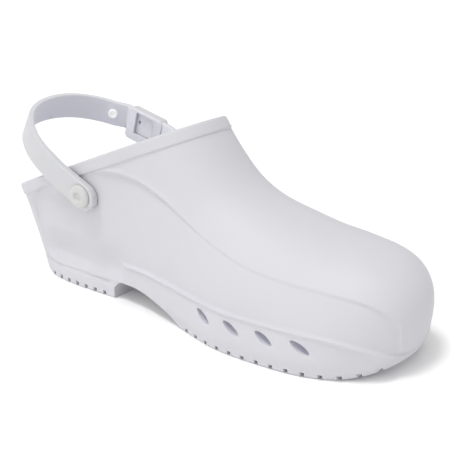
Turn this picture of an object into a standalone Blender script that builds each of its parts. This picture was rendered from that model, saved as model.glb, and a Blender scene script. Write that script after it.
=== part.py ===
"""Moulded clog for the right foot: one hollow body with its sole, a loose insole and a pinned heel strap.

Metres, +Z up, +X towards the toe, +Y towards the inner (big toe) side.
The origin is on the floor under the middle of the shoe.
"""
import math

import bmesh
import bpy
import numpy as np
from mathutils import Matrix, Vector

mm = 0.001

# Driving sizes of the shoe
length = 280 * mm           # the length that the shares below are taken of; the toe ends 3 mm short of it
ballWidth = 100 * mm        # sole width across the ball
heelWidth = 70.5 * mm       # sole width across the heel
instepHeight = 108 * mm     # floor to the front point of the collar
toeHeight = 55 * mm         # floor to the top of the toe box
heelRimHeight = 47 * mm     # floor to the rim at the back
toeSpring = 8.5 * mm        # rise of the sole under the tip of the toe

# Walls, footbed and insole
upperWall = 3.6 * mm
soleWall = 5.4 * mm
soleWallTop = 26 * mm       # height at which the thick side of the sole ends
wallChange = 12 * mm        # height over which the wall goes from one to the other
heelBed = 33 * mm           # floor to the moulded footbed at the heel
ballBed = 10 * mm           # floor to the moulded footbed at the ball
bedCorner = 2 * mm
insoleThickness = 3.6 * mm
insoleGap = 0.5 * mm
insoleSoft = 1.2 * mm       # softened edge of the insole
seatGap = 0.3 * mm          # air between pieces that touch

# Steps in the wall
bandDepth = 7 * mm          # collar band, measured square to the rim
bandStep = 0.8 * mm
bandSlope = 0.7 * mm
beadStep = 1.5 * mm         # rounded top edge of the sole side
panelStep = 1.1 * mm        # the top panel stands proud of the side panel
baseBevel = 1.0 * mm
heelLineDepth = 0.7 * mm    # groove above the heel's tread block
scallopDepth = 3.0 * mm     # hollow sweep in the side of the heel
scallopTop = 34 * mm        # floor to the upper end of that sweep
treadLineHeel = 9.6 * mm    # floor to the groove above the heel's tread block
treadLineToe = 2.6 * mm     # floor to the lowest line of the forefoot

# Tread and arch
grooveDepth = 2.7 * mm
heelGrooveWidth = 2.2 * mm
heelGroovePitch = 7.6 * mm
foreGrooveWidth = 2.2 * mm
foreGroovePitch = 8.4 * mm
treadRib = 16 * mm          # plain strip left along the middle of the tread
archHeight = 12 * mm
cutterReach = 5 * mm        # how far a cutter stands out of the solid

# Vents in the side of the sole
ventLength = 11.6 * mm
ventWidth = 4.6 * mm
ventTilt = math.radians(-27)
ventCount = 4
ventHeight = 16.6 * mm
ventPoint = 0.35            # how pointed the ends of a vent are

# Strap, sleeve and pins
strapWidth = 16 * mm
strapThickness = 3.2 * mm
strapPad = 4.4 * mm         # thickness of the strap at the outer pin
padAhead = 1.6 * mm         # plain strap between the outer pin and the round end
padFade = (0.12, 0.36)      # where it gets thinner, shares of the long strap
strapOffWall = 0.5 * mm     # air between the strap and the collar band
strapSoftEdge = 0.8 * mm
strapHole = 2.2 * mm        # small spare hole seen in the sleeve's window
holeBehind = 3.4 * mm       # that hole behind the middle of the sleeve
holeRise = 0.9 * mm         # and above the middle of the strap
strapTop = 98 * mm          # floor to the middle of the strap behind the heel
sleeveLength = 24.5 * mm
sleeveWall = 3.4 * mm       # past the strap's end
sleeveOver = 1.4 * mm       # above the strap
sleeveUnder = 4.0 * mm      # below the strap
sleeveFace = 1.9 * mm       # inner and outer face of the sleeve
sleeveCorner = 1.6 * mm
sleeveSlack = 1.5 * mm      # air past the end of the long strap
sleeveWindow = 14.5 * mm
windowAhead = 1.8 * mm      # window in front of the middle of the sleeve
windowFrame = 0.75 * mm     # lip left above and below the strap in the window
pinHead = 14 * mm
pinHeadThickness = 2.4 * mm
pinDimple = 5.6 * mm
pinDimpleDepth = 1.1 * mm
pinShank = 5 * mm
pinTail = 10 * mm
pinTailThickness = 1.6 * mm
pinTailEnd = 0.9            # share of the tail's width left at its end
# Rounding of the pin: share of the radius, share of the depth below the top.
pinDimpleProfile = ((0.80, 1.0), (1.0, 0.18), (1.18, 0.0))
pinHeadProfile = ((0.72, 0.08), (0.93, 0.38), (1.0, 0.70))
studHead = 6.2 * mm
studShank = 3.2 * mm
studHeadThickness = 1.0 * mm
# Rounding of the stud's head: share of its radius, share of its thickness.
studProfile = ((0.0, 0.4), (0.4, 0.4), (0.55, 1.0), (0.85, 1.0), (1.0, 0.5), (1.0, 0.0))
outerPinDrop = 19.9 * mm    # pin below the line of the collar rim, outer side
innerPinDrop = 17.8 * mm    # the same on the inner side
strapTilt = math.radians(33)     # how far the band leans forward at the outer pin
sleeveTilt = math.radians(9)     # the same at the sleeve
tiltChange = (0.30, 0.80)        # where it goes from one to the other, shares of the long strap

# Places along the shoe, from the back of the rim
springStart = 0.893 * length
archStart = 0.357 * length       # upright front face of the heel
archEnd = 0.564 * length
heelGrooveFirst = 0.166 * length
heelGrooveLast = 0.329 * length
foreGrooveFirst = 0.589 * length
foreGrooveLast = 0.982 * length
ventFirst = 0.639 * length
ventPitch = 0.0707 * length
outerPinX = 0.292 * length
innerPinX = 0.368 * length
strapBackX = 0.071 * length      # middle of the strap behind the heel

# Start and end of what fades in or out along the side, shares of length
frameFade = (0.371, 0.400)       # proud side of the sole comes up in front of the heel
toeFade = (0.930, 0.975)         # its rounded edge goes down at the toe
panelFade = (0.300, 0.357)
heelLineFade = (0.164, 0.186)
scallopIn = (0.136, 0.200)
scallopOut = (0.336, 0.414)
beadLeft = 0.25                  # share of the rounded edge left at the toe

# Mesh counts and small numbers
stationsPerRow = 2
roundSteps = 24
cornerSteps = 4
roundEndSteps = (0.0, 0.04, 0.14, 0.30, 0.52, 0.78)
routeSteps = 3
searchSteps = 40
small = 0.01                # step used to find a direction
weld = 0.01 * mm
sharpAngle = math.radians(32)

# One row for each section round the sole, from the middle of the heel to the tip of the toe.
# outerX, innerX: place along the shoe, share of length.
# outerW, innerW: half width, share of the heel width down to the row "breast", then of the ball width.
# ridgeX: where the section's rib ends on the ridge, share of length.
# bead, panel: heights of the two lines of the side above the sole's edge, share of instep height.
# lean: how far the wall leans out at the height of the heel rim, share of heel width.
# power: roundness of the rib, 2 is an ellipse and more is boxier.
sectionColumns = ("outerX", "outerW", "innerX", "innerW", "ridgeX", "bead", "panel", "lean", "power")
sections = {
    "heelMiddle": (0.072, 0.000, 0.072, 0.000, 0.180, 0.180, 0.560, 0.255, 3.0),
    "heelCorner": (0.077, 0.130, 0.077, 0.130, 0.185, 0.180, 0.560, 0.245, 3.0),
    "heelTurn":   (0.090, 0.246, 0.090, 0.246, 0.190, 0.180, 0.565, 0.200, 3.0),
    "heelBack":   (0.112, 0.343, 0.112, 0.340, 0.200, 0.180, 0.575, 0.135, 3.0),
    "heelQuart":  (0.143, 0.425, 0.143, 0.420, 0.215, 0.180, 0.600, 0.075, 3.0),
    "heelSide":   (0.182, 0.476, 0.182, 0.470, 0.235, 0.185, 0.635, 0.030, 3.0),
    "heelWide":   (0.235, 0.497, 0.235, 0.492, 0.270, 0.195, 0.665, 0.005, 3.0),
    "heelFront":  (0.295, 0.497, 0.295, 0.490, 0.320, 0.210, 0.690, 0.000, 3.0),
    "breast":     (0.357, 0.487, 0.357, 0.470, 0.375, 0.220, 0.712, 0.000, 2.9),
    "waistBack":  (0.420, 0.345, 0.420, 0.322, 0.430, 0.230, 0.703, 0.000, 2.6),
    "waist":      (0.480, 0.368, 0.480, 0.334, 0.485, 0.228, 0.654, 0.000, 2.3),
    "waistFront": (0.540, 0.400, 0.540, 0.372, 0.538, 0.220, 0.576, 0.000, 2.1),
    "ballBack":   (0.600, 0.446, 0.600, 0.424, 0.596, 0.218, 0.503, 0.000, 2.1),
    "ball":       (0.662, 0.486, 0.662, 0.470, 0.652, 0.219, 0.458, 0.000, 2.25),
    "ballFront":  (0.725, 0.493, 0.725, 0.492, 0.706, 0.218, 0.425, 0.000, 2.4),
    "toeBack":    (0.790, 0.481, 0.790, 0.484, 0.755, 0.219, 0.407, 0.000, 2.5),
    "toeSide":    (0.848, 0.452, 0.848, 0.460, 0.792, 0.220, 0.403, 0.020, 2.7),
    "toeTurn":    (0.900, 0.391, 0.900, 0.397, 0.816, 0.209, 0.394, 0.060, 2.8),
    "toeCorner":  (0.940, 0.308, 0.938, 0.307, 0.827, 0.164, 0.350, 0.100, 3.0),
    "toeQuarter": (0.967, 0.222, 0.963, 0.222, 0.830, 0.101, 0.230, 0.125, 3.1),
    "toeFront":   (0.983, 0.122, 0.981, 0.112, 0.830, 0.055, 0.100, 0.135, 3.1),
    "toeTip":     (0.988, 0.005, 0.988, -0.005, 0.830, 0.038, 0.065, 0.135, 3.1),
}
heelRows = 9                # the rows that follow the heel width

# Height of the ridge. x: share of length. instep, toe: shares of the two heights, which add up.
ridgeColumns = ("x", "instep", "toe")
ridge = {
    "heel":      (0.00, 2.95, 0.00),
    "ankle":     (0.25, 2.15, 0.00),
    "collar":    (0.40, 1.50, 0.00),
    "instepTop": (0.47, 1.20, 0.00),
    "collarTip": (0.524, 1.00, 0.00),
    "instep":    (0.59, 0.70, 0.15),
    "vampBack":  (0.65, 0.42, 0.46),
    "vamp":      (0.72, 0.21, 0.745),
    "toeBack":   (0.80, 0.08, 0.91),
    "toeTop":    (0.86, 0.02, 0.99),
    "toeFront":  (0.93, 0.00, 1.00),
    "toeEnd":    (1.00, 0.00, 0.98),
}

# How far the ridge lies towards the inner side. x: share of length. off: share of ball width.
ridgeOffset = {"heel": (0.0, 0.0), "collar": (0.45, 0.0), "vamp": (0.65, 0.02), "toe": (0.83, 0.03)}

# Footbed. x: share of length. heel: how much of the heel's height is left, from 1 down to 0.
footbed = {
    "back": (0.00, 1.00), "heel": (0.27, 0.98), "breast": (0.37, 0.82), "waist": (0.46, 0.52),
    "waistFront": (0.54, 0.22), "ballBack": (0.62, 0.03), "ball": (0.70, 0.00), "toe": (1.00, 0.00),
}

# Underside of the waist. x: share of the way from archStart to archEnd. z: share of archHeight.
archProfile = (
    (0.00, 0.47), (0.012, 0.64), (0.045, 0.79), (0.12, 0.97), (0.27, 1.00), (0.40, 0.95),
    (0.53, 0.85), (0.66, 0.70), (0.77, 0.54), (0.88, 0.32), (1.00, 0.00),
)

# Heights where the rib gets a vertex, as (line from, line to, share between them).
# The lines are the sole's edge, the tread line, the bead, the panel line and the ridge.
levels = (
    ("edge", "edge", 0.0), ("edge", "tread", 0.25), ("edge", "tread", 1.0), ("tread", "bead", 0.30),
    ("tread", "bead", 0.70), ("tread", "bead", 0.90), ("bead", "bead", 0.0), ("bead", "panel", 0.06),
    ("bead", "panel", 0.25), ("bead", "panel", 0.50), ("bead", "panel", 0.76), ("bead", "panel", 0.97),
    ("panel", "panel", 0.0),
)
treadLevel = 2
beadLevels = (3, 4, 5, 6)
panelLevel = 12
treadShare = 0.8            # the tread line stays below this share of the bead's height
sweepPower = 1.5
upperSteps = (0.10, 0.22, 0.36, 0.52, 0.70, 0.86, 1.0)    # from the panel line to the ridge
innerSteps = (0.025, 0.076, 0.161, 0.289, 0.442, 0.645, 0.845, 1.0)    # from the footbed to the ridge, inside

# Middle line of the strap from the outer pin round the heel to the sleeve.
# back: share of the way from the outer pin to the back of the strap. side: share of the strap's half width.
# rise: share of the way up from the outer pin to the strap's top.
strapColumns = ("back", "side", "rise")
strapRoute = {
    "arm": (0.282, -1.044, 0.253),
    "armRise": (0.400, -1.050, 0.379),
    "armTop": (0.523, -1.044, 0.505),
    "shoulder": (0.646, -1.002, 0.632),
    "bend": (0.761, -0.917, 0.758),
    "bendTop": (0.857, -0.795, 0.858),
    "turnIn": (0.930, -0.615, 0.937),
    "backOuter": (0.979, -0.387, 0.984),
    "back": (0.998, -0.121, 1.000),
    "backInner": (0.989, 0.149, 0.989),
    "turnOut": (0.952, 0.398, 0.953),
    "farBend": (0.890, 0.625, 0.895),
    "farShoulder": (0.808, 0.811, 0.826),
    "farArm": (0.726, 0.928, 0.768),
}
sleeveSpot = (0.390, 1.069, 0.613)            # middle of the sleeve, in the same three shares
shortRoute = {
    "arm": (0.048, 1.030, 0.490),
    "armMiddle": (-0.084, 0.984, 0.430),
    "armEnd": (-0.215, 0.940, 0.358),
}
sleeveWay = (0.976, 0.057, -0.212)     # direction of the sleeve, towards the inner pin
studBehind = 23.7 * mm                 # stud behind the middle of the sleeve


def clearScene():
    for item in list(bpy.data.objects):
        bpy.data.objects.remove(item, do_unlink=True)


def column(table, names, name):
    place = names.index(name)
    return [row[place] for row in table.values()]


def smoothAt(points, at, closed=False):
    """Catmull-Rom value through evenly numbered points."""
    points = np.asarray(points, float)
    count = len(points)
    low = math.floor(at)
    part = at - low
    pick = []
    for step in (-1, 0, 1, 2):
        index = low + step
        if closed:
            pick.append(points[index % count])
        elif index < 0:
            pick.append(2 * points[0] - points[1])
        elif index >= count:
            pick.append(2 * points[-1] - points[-2])
        else:
            pick.append(points[index])
    a, b, c, d = pick
    return b + 0.5 * part * (c - a + part * (2 * a - 5 * b + 4 * c - d + part * (3 * (b - c) + d - a)))


def smoothTable(xs, values, x):
    """Smooth cubic through a table, for a place x along it."""
    x = min(max(x, xs[0]), xs[-1])
    index = max(i for i in range(len(xs) - 1) if xs[i] <= x + 1e-12)
    slopes = []
    for i in (index, index + 1):
        low = max(i - 1, 0)
        high = min(i + 1, len(xs) - 1)
        slopes.append((values[high] - values[low]) / (xs[high] - xs[low]))
    span = xs[index + 1] - xs[index]
    part = (x - xs[index]) / span
    first = (1 + 2 * part) * (1 - part) ** 2 * values[index] + part * (1 - part) ** 2 * span * slopes[0]
    second = part ** 2 * (3 - 2 * part) * values[index + 1] + part ** 2 * (part - 1) * span * slopes[1]
    return first + second


def step(low, high, value):
    part = min(max((value - low) / (high - low), 0.0), 1.0)
    return part * part * (3 - 2 * part)


rows = len(sections)
lastRow = rows - 1
loopRows = list(range(rows)) + list(range(rows - 2, 0, -1))
ridgeXs = [value * length for value in column(ridge, ridgeColumns, "x")]
ridgeZs = [
    a * instepHeight + b * toeHeight
    for a, b in zip(column(ridge, ridgeColumns, "instep"), column(ridge, ridgeColumns, "toe"))
]
collarX = length * ridge["collarTip"][0]
collarSlope = (instepHeight - heelRimHeight) / collarX


def loopColumn(name):
    return [list(sections.values())[row][sectionColumns.index(name)] for row in loopRows]


def loopPlan():
    """Corners of the sole's outline, outer side out to the toe and inner side back."""
    points = []
    for place, row in enumerate(loopRows):
        values = dict(zip(sectionColumns, list(sections.values())[row]))
        outer = place <= lastRow
        width = heelWidth if row < heelRows else ballWidth
        side = -1 if outer else 1
        name = "outer" if outer else "inner"
        points.append((values[name + "X"] * length, side * values[name + "W"] * width))
    return points


plan = loopPlan()
ridgeEnds = loopColumn("ridgeX")
beads = loopColumn("bead")
panels = loopColumn("panel")
leans = loopColumn("lean")
powers = loopColumn("power")


def floorAt(x):
    """Height of the sole's edge: flat, then rising under the toe."""
    return toeSpring * (max(x - springStart, 0.0) / (length - springStart)) ** 2


def ridgeAt(x):
    return smoothTable(ridgeXs, ridgeZs, x)


def ridgeSide(x):
    xs = [row[0] * length for row in ridgeOffset.values()]
    ys = [row[1] * ballWidth for row in ridgeOffset.values()]
    return smoothTable(xs, ys, x)


def bedAt(x):
    xs = [row[0] * length for row in footbed.values()]
    shares = [row[1] for row in footbed.values()]
    return ballBed + (heelBed - ballBed) * smoothTable(xs, shares, x) + floorAt(x)


def collarAt(x):
    return heelRimHeight + collarSlope * x


outerPin = (outerPinX, collarAt(outerPinX) - outerPinDrop)
innerPin = (innerPinX, collarAt(innerPinX) - innerPinDrop)


def ribAt(turn):
    """All that one rib needs, at a place along the closed loop of sections."""
    x, y = smoothAt(plan, turn, closed=True)
    ridgeX = min(smoothAt(ridgeEnds, turn, closed=True), max(ridgeEnds)) * length
    edge = floorAt(x)
    forward = step(archStart, archEnd, x)
    tread = treadLineHeel + (treadLineToe - treadLineHeel) * forward
    bead = smoothAt(beads, turn, closed=True) * instepHeight
    panel = smoothAt(panels, turn, closed=True) * instepHeight
    return {
        "x": x, "y": y, "edge": edge, "ridgeX": ridgeX, "ridgeY": ridgeSide(ridgeX),
        "tread": edge + min(tread, treadShare * bead), "bead": edge + bead, "panel": edge + panel,
        "lean": smoothAt(leans, turn, closed=True) * heelWidth,
        "power": smoothAt(powers, turn, closed=True),
    }


def ribPoint(rib, share):
    """Point of a rib, from 0 at the sole's edge to 1 on the ridge."""
    rise = (1 - (1 - share) ** rib["power"]) ** (1 / rib["power"])
    x = rib["x"] + share * (rib["ridgeX"] - rib["x"])
    y = rib["y"] + share * (rib["ridgeY"] - rib["y"])
    z = rib["edge"] * (1 - rise) + rise * ridgeAt(x)
    out = rib["lean"] * (z - rib["edge"]) / heelRimHeight * (1 - share)
    span = math.hypot(rib["ridgeX"] - rib["x"], rib["ridgeY"] - rib["y"])
    x -= out * (rib["ridgeX"] - rib["x"]) / span
    y -= out * (rib["ridgeY"] - rib["y"]) / span
    return Vector((x, y, z))


def shareAtHeight(rib, height):
    low = 0.0
    high = 1.0
    for _ in range(searchSteps):
        middle = (low + high) / 2
        if ribPoint(rib, middle).z < height:
            low = middle
        else:
            high = middle
    return (low + high) / 2


def normalAt(turn, share):
    """Outward direction of the plain surface."""
    ahead = ribPoint(ribAt(turn + small), share)
    behind = ribPoint(ribAt(turn - small), share)
    rib = ribAt(turn)
    up = ribPoint(rib, min(share + small, 1.0))
    down = ribPoint(rib, max(share - small, 0.0))
    normal = (ahead - behind).cross(up - down)
    return normal.normalized()


def fade(span, x):
    """0 before a span given in shares of length, 1 after it."""
    return step(span[0] * length, span[1] * length, x)


def sideStep(rib, level, point):
    """How far a level stands proud of, or below, the plain surface."""
    if level == 0:
        return -baseBevel
    if level == treadLevel:
        return -heelLineDepth * fade(heelLineFade, point.x) * (point.x < archStart)
    out = 0.0
    if level in beadLevels:
        left = 1 - (1 - beadLeft) * fade(toeFade, rib["x"])
        out = beadStep * fade(frameFade, rib["x"]) * left
    elif level >= panelLevel:
        out = panelStep * fade(panelFade, rib["x"])
    if treadLineHeel < point.z < scallopTop:
        sweep = math.sin(math.pi * (point.z - treadLineHeel) / (scallopTop - treadLineHeel))
        along = fade(scallopIn, point.x) * (1 - fade(scallopOut, point.x))
        out -= scallopDepth * sweep ** sweepPower * along
    return out


def ribLevels(rib):
    """Shares along a rib for all its vertices."""
    shares = []
    for start, end, part in levels:
        height = rib[start] + part * (rib[end] - rib[start])
        shares.append(shareAtHeight(rib, height) if height > rib["edge"] else 0.0)
    base = shares[-1]
    angle = math.asin(min(base, 1.0)) if base < 1 else math.pi / 2
    for part in upperSteps:
        shares.append(math.sin(angle + part * (math.pi / 2 - angle)))
    shares[-1] = 1.0
    return shares


def stationTurns():
    turns = []
    for row in range(len(loopRows)):
        for part in range(stationsPerRow):
            turns.append(row + part / stationsPerRow)
    return turns


def skinMesh(rings, partners):
    """Closed skin from rings round the shoe: the last ring meets itself on the ridge."""
    mesh = bmesh.new()
    grid = [[mesh.verts.new(point) for point in ring] for ring in rings]
    count = len(rings[0])
    for lower, upper in zip(grid[:-1], grid[1:]):
        for place in range(count):
            after = (place + 1) % count
            mesh.faces.new((lower[place], upper[place], upper[after], lower[after]))
    bottom = grid[0]
    half = count // 2
    for place in range(half):
        corners = [bottom[place], bottom[place + 1], bottom[partners[place + 1]], bottom[partners[place]]]
        unique = []
        for corner in corners:
            if corner not in unique:
                unique.append(corner)
        mesh.faces.new(unique)
    bmesh.ops.remove_doubles(mesh, verts=mesh.verts, dist=weld)
    bmesh.ops.dissolve_degenerate(mesh, edges=mesh.edges, dist=weld / 10)
    bmesh.ops.recalc_face_normals(mesh, faces=mesh.faces)
    return mesh


def wallAt(height):
    """Wall thickness: the sole's, then the upper's above the change."""
    change = step(soleWallTop - wallChange / 2, soleWallTop + wallChange / 2, height)
    return soleWall + (upperWall - soleWall) * change


def innerRing(turn, height, extra):
    rib = ribAt(turn)
    share = shareAtHeight(rib, height)
    point = ribPoint(rib, share)
    return point - normalAt(turn, share) * (wallAt(point.z) + extra)


def centred(x, y, z):
    """From the back of the rim, the middle and the floor to the part's own frame."""
    return Vector((x - length / 2, y, z))


def outerSkin(turns, partners):
    ribs = [ribAt(turn) for turn in turns]
    shares = [ribLevels(rib) for rib in ribs]
    rings = []
    for level in range(len(shares[0])):
        ring = []
        for turn, rib, own in zip(turns, ribs, shares):
            point = ribPoint(rib, own[level])
            last = level == len(own) - 1
            direction = ridgeNormal(rib) if last else normalAt(turn, own[level])
            if level <= treadLevel:
                direction.z = 0
                direction.normalize()
            ring.append(point + direction * sideStep(rib, level, point))
        rings.append(ring)
    return skinMesh(rings, partners)


def innerSkin(turns, partners):
    rings = []
    ribs = [ribAt(turn) for turn in turns]
    floorRing = []
    wallRing = []
    for turn in turns:
        corner = innerRing(turn, bedAt(ribAt(turn)["x"]) + bedCorner, 0.0)
        foot = innerRing(turn, bedAt(ribAt(turn)["x"]) + bedCorner, bedCorner)
        floorRing.append(Vector((foot.x, foot.y, bedAt(foot.x))))
        wallRing.append(corner)
    rings += [floorRing, wallRing]
    starts = [shareAtHeight(rib, bedAt(rib["x"]) + bedCorner) for rib in ribs]
    for part in innerSteps:
        ring = []
        for turn, rib, start in zip(turns, ribs, starts):
            angle = math.asin(start)
            share = math.sin(angle + part * (math.pi / 2 - angle)) if part < 1 else 1.0
            point = ribPoint(rib, share)
            direction = normalAt(turn, share) if part < 1 else ridgeNormal(rib)
            ring.append(point - direction * wallAt(point.z))
        rings.append(ring)
    return skinMesh(rings, partners)


def ridgeNormal(rib):
    """Upward direction square to the ridge."""
    reach = small * length
    climb = ridgeAt(rib["ridgeX"] + reach) - ridgeAt(rib["ridgeX"] - reach)
    return Vector((-climb, 0, 2 * reach)).normalized()


def collarPlane():
    point = Vector((0, 0, heelRimHeight))
    normal = Vector((-collarSlope, 0, 1)).normalized()
    return point, normal


def cutCollar(mesh, withBand):
    point, normal = collarPlane()
    geometry = mesh.verts[:] + mesh.edges[:] + mesh.faces[:]
    bmesh.ops.bisect_plane(
        mesh, geom=geometry, plane_co=point, plane_no=normal, clear_outer=True, dist=weld)
    if not withBand:
        return
    for depth in (bandDepth + bandSlope, bandDepth):
        geometry = mesh.verts[:] + mesh.edges[:] + mesh.faces[:]
        bmesh.ops.bisect_plane(
            mesh, geom=geometry, plane_co=point - normal * depth, plane_no=normal, dist=weld)
    mesh.normal_update()
    moves = []
    for vert in mesh.verts:
        depth = (point - vert.co).dot(normal)
        if depth < bandDepth + bandSlope / 2:
            out = vert.normal - normal * vert.normal.dot(normal)
            moves.append((vert, out.normalized() * bandStep))
    for vert, move in moves:
        vert.co += move


def openEdges(mesh):
    return [edge for edge in mesh.edges if len(edge.link_faces) == 1]


def joinedSkins(outer, inner):
    """The two skins and the rim between them, as one closed solid."""
    bmesh.ops.reverse_faces(inner, faces=inner.faces)
    data = bpy.data.meshes.new("innerSkin")
    inner.to_mesh(data)
    inner.free()
    outer.from_mesh(data)
    bpy.data.meshes.remove(data)
    bmesh.ops.bridge_loops(outer, edges=openEdges(outer))
    bmesh.ops.recalc_face_normals(outer, faces=outer.faces)
    return outer


def material(name, color, roughness):
    made = bpy.data.materials.new(name)
    made.use_nodes = True
    shader = made.node_tree.nodes["Principled BSDF"]
    shader.inputs["Base Color"].default_value = (*color, 1.0)
    shader.inputs["Roughness"].default_value = roughness
    shader.inputs["Metallic"].default_value = 0.0
    return made


def addObject(name, mesh, finish=None, smooth=True):
    data = bpy.data.meshes.new(name)
    mesh.to_mesh(data)
    mesh.free()
    if smooth:
        data.shade_smooth()
        data.set_sharp_from_angle(angle=sharpAngle)
    made = bpy.data.objects.new(name, data)
    bpy.context.scene.collection.objects.link(made)
    if finish:
        data.materials.append(finish)
    return made


def addCutter(name, mesh, targets):
    cutter = addObject(name, mesh, smooth=False)
    cutter.hide_render = True
    cutter.display_type = "WIRE"
    for target in targets:
        cut = target.modifiers.new(name, "BOOLEAN")
        cut.operation = "DIFFERENCE"
        cut.solver = "EXACT"
        cut.object = cutter
    return cutter


def addPrism(mesh, outline, start, end):
    """Prism from a closed outline of points, drawn out along a vector."""
    way = end - start
    near = [mesh.verts.new(point + start) for point in outline]
    far = [mesh.verts.new(point + start + way) for point in outline]
    faces = [mesh.faces.new(near), mesh.faces.new(list(reversed(far)))]
    for place in range(len(near)):
        after = (place + 1) % len(near)
        faces.append(mesh.faces.new((near[after], near[place], far[place], far[after])))
    bmesh.ops.recalc_face_normals(mesh, faces=faces)


def addBox(mesh, low, high):
    outline = [Vector((low[0], 0, low[2])), Vector((high[0], 0, low[2])),
               Vector((high[0], 0, high[2])), Vector((low[0], 0, high[2]))]
    addPrism(mesh, outline, Vector((0, low[1], 0)), Vector((0, high[1], 0)))


def archCutter():
    mesh = bmesh.new()
    span = archEnd - archStart
    outline = [Vector((archStart + share * span, 0, height * archHeight)) for share, height in archProfile]
    outline += [Vector((archEnd, 0, -cutterReach)), Vector((archStart, 0, -cutterReach))]
    addPrism(mesh, [centred(*point) for point in outline], Vector((0, -ballWidth, 0)), Vector((0, ballWidth, 0)))
    return mesh


def treadCutter():
    mesh = bmesh.new()
    heelCount = int((heelGrooveLast - heelGrooveFirst) / heelGroovePitch + 0.5) + 1
    foreCount = int((foreGrooveLast - foreGrooveFirst) / foreGroovePitch) + 1
    grooves = [(heelGrooveFirst + n * heelGroovePitch, heelGrooveWidth) for n in range(heelCount)]
    grooves += [(foreGrooveFirst + n * foreGroovePitch, foreGrooveWidth) for n in range(foreCount)]
    for x, width in grooves:
        for side in (-1, 1):
            ends = sorted((side * treadRib / 2, side * ballWidth))
            low = centred(x - width / 2, ends[0], -cutterReach)
            high = centred(x + width / 2, ends[1], floorAt(x) + grooveDepth)
            addBox(mesh, low, high)
    return mesh


def wallPoint(x, z, side):
    """Point of the plain outer surface at a place along the shoe, on the outer (-1) or inner (1) side."""
    low = 0.0
    high = float(lastRow)
    for _ in range(searchSteps):
        middle = (low + high) / 2
        turn = middle if side < 0 else len(loopRows) - middle
        rib = ribAt(turn)
        point = ribPoint(rib, shareAtHeight(rib, z))
        if point.x < x:
            low = middle
        else:
            high = middle
    return point


def ventCutter(pinSeats):
    """Leaf-shaped vents through both sides of the sole, and the holes for the two pins."""
    mesh = bmesh.new()
    half = ventLength / 2
    rise = ventWidth / 2
    for number in range(ventCount):
        x = ventFirst + number * ventPitch
        outline = []
        for place in range(roundSteps):
            turn = 2 * math.pi * place / roundSteps
            along = half * math.cos(turn)
            up = rise * math.sin(turn) * abs(math.sin(turn)) ** ventPoint
            outline.append(Vector((
                along * math.cos(ventTilt) - up * math.sin(ventTilt), 0,
                along * math.sin(ventTilt) + up * math.cos(ventTilt))))
        for side in (-1, 1):
            wall = wallPoint(x, ventHeight, side)
            middle = centred(x, wall.y, ventHeight)
            outward = Vector((0, side, 0))
            addPrism(mesh, outline, middle - outward * 2 * soleWall, middle + outward * cutterReach)
    for point, out, thick in pinSeats:
        outline = [turnTo(corner, out) for corner in roundOutline(pinShank / 2 + seatGap)]
        inside = thick / 2 + strapOffWall + bandStep + upperWall + cutterReach
        addPrism(mesh, outline, point - out * inside, point + out * cutterReach)
    return mesh


def roundOutline(radius):
    turns = [2 * math.pi * place / roundSteps for place in range(roundSteps)]
    return [Vector((radius * math.cos(turn), 0, radius * math.sin(turn))) for turn in turns]


def buildBody(finish, pinSeats):
    turns = stationTurns()
    count = len(turns)
    partners = [(count - place) % count for place in range(count)]
    outer = outerSkin(turns, partners)
    cutCollar(outer, withBand=True)
    inner = innerSkin(turns, partners)
    cutCollar(inner, withBand=False)
    mesh = joinedSkins(outer, inner)
    bmesh.ops.translate(mesh, verts=mesh.verts, vec=centred(0, 0, 0))
    body = addObject("clog_body", mesh, finish)
    addCutter("archCutter", archCutter(), [body])
    addCutter("treadCutter", treadCutter(), [body])
    addCutter("ventCutter", ventCutter(pinSeats), [body])
    return body


def buildInsole(finish):
    turns = stationTurns()
    count = len(turns)
    partners = [(count - place) % count for place in range(count)]
    mesh = bmesh.new()
    rings = []
    for lift, inset in ((0.0, insoleSoft / 2), (insoleSoft / 2, 0.0), (insoleThickness - insoleSoft, 0.0),
                        (insoleThickness, insoleSoft)):
        ring = []
        for turn in turns:
            start = bedAt(ribAt(turn)["x"]) + bedCorner
            foot = innerRing(turn, start, bedCorner + insoleGap + inset)
            ring.append(Vector((foot.x, foot.y, bedAt(foot.x) + seatGap + lift)))
        rings.append([mesh.verts.new(point + centred(0, 0, 0)) for point in ring])
    for lower, upper in zip(rings[:-1], rings[1:]):
        for place in range(count):
            after = (place + 1) % count
            mesh.faces.new((lower[place], lower[after], upper[after], upper[place]))
    for ring in (rings[0], rings[-1]):
        for place in range(count // 2):
            corners = [ring[place], ring[place + 1], ring[partners[place + 1]], ring[partners[place]]]
            mesh.faces.new(list(dict.fromkeys(corners)))
    bmesh.ops.recalc_face_normals(mesh, faces=mesh.faces)
    return addObject("insole", mesh, finish)


def strapSide(pin, side):
    """Middle of the strap's thickness beside a pin."""
    wall = wallPoint(pin[0], pin[1], side)
    return wall.y + side * (bandStep + strapOffWall + padThickness(side) / 2)


def padThickness(side):
    """Thickness of the strap at its pin: more on the outer side."""
    return strapPad if side < 0 else strapThickness


def strapPoint(back, side, rise):
    """Point of the strap's route from its three shares."""
    x = outerPin[0] - back * (outerPin[0] - strapBackX)
    y = side * abs(strapSide(outerPin, -1))
    z = outerPin[1] + rise * (strapTop - outerPin[1])
    return centred(x, y, z)


def routePoints(points):
    """Smooth curve through the route's own points."""
    made = []
    for index in range(len(points) - 1):
        for part in range(routeSteps):
            made.append(Vector(smoothAt(points, index + part / routeSteps)))
    made.append(Vector(points[-1]))
    return made


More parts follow.
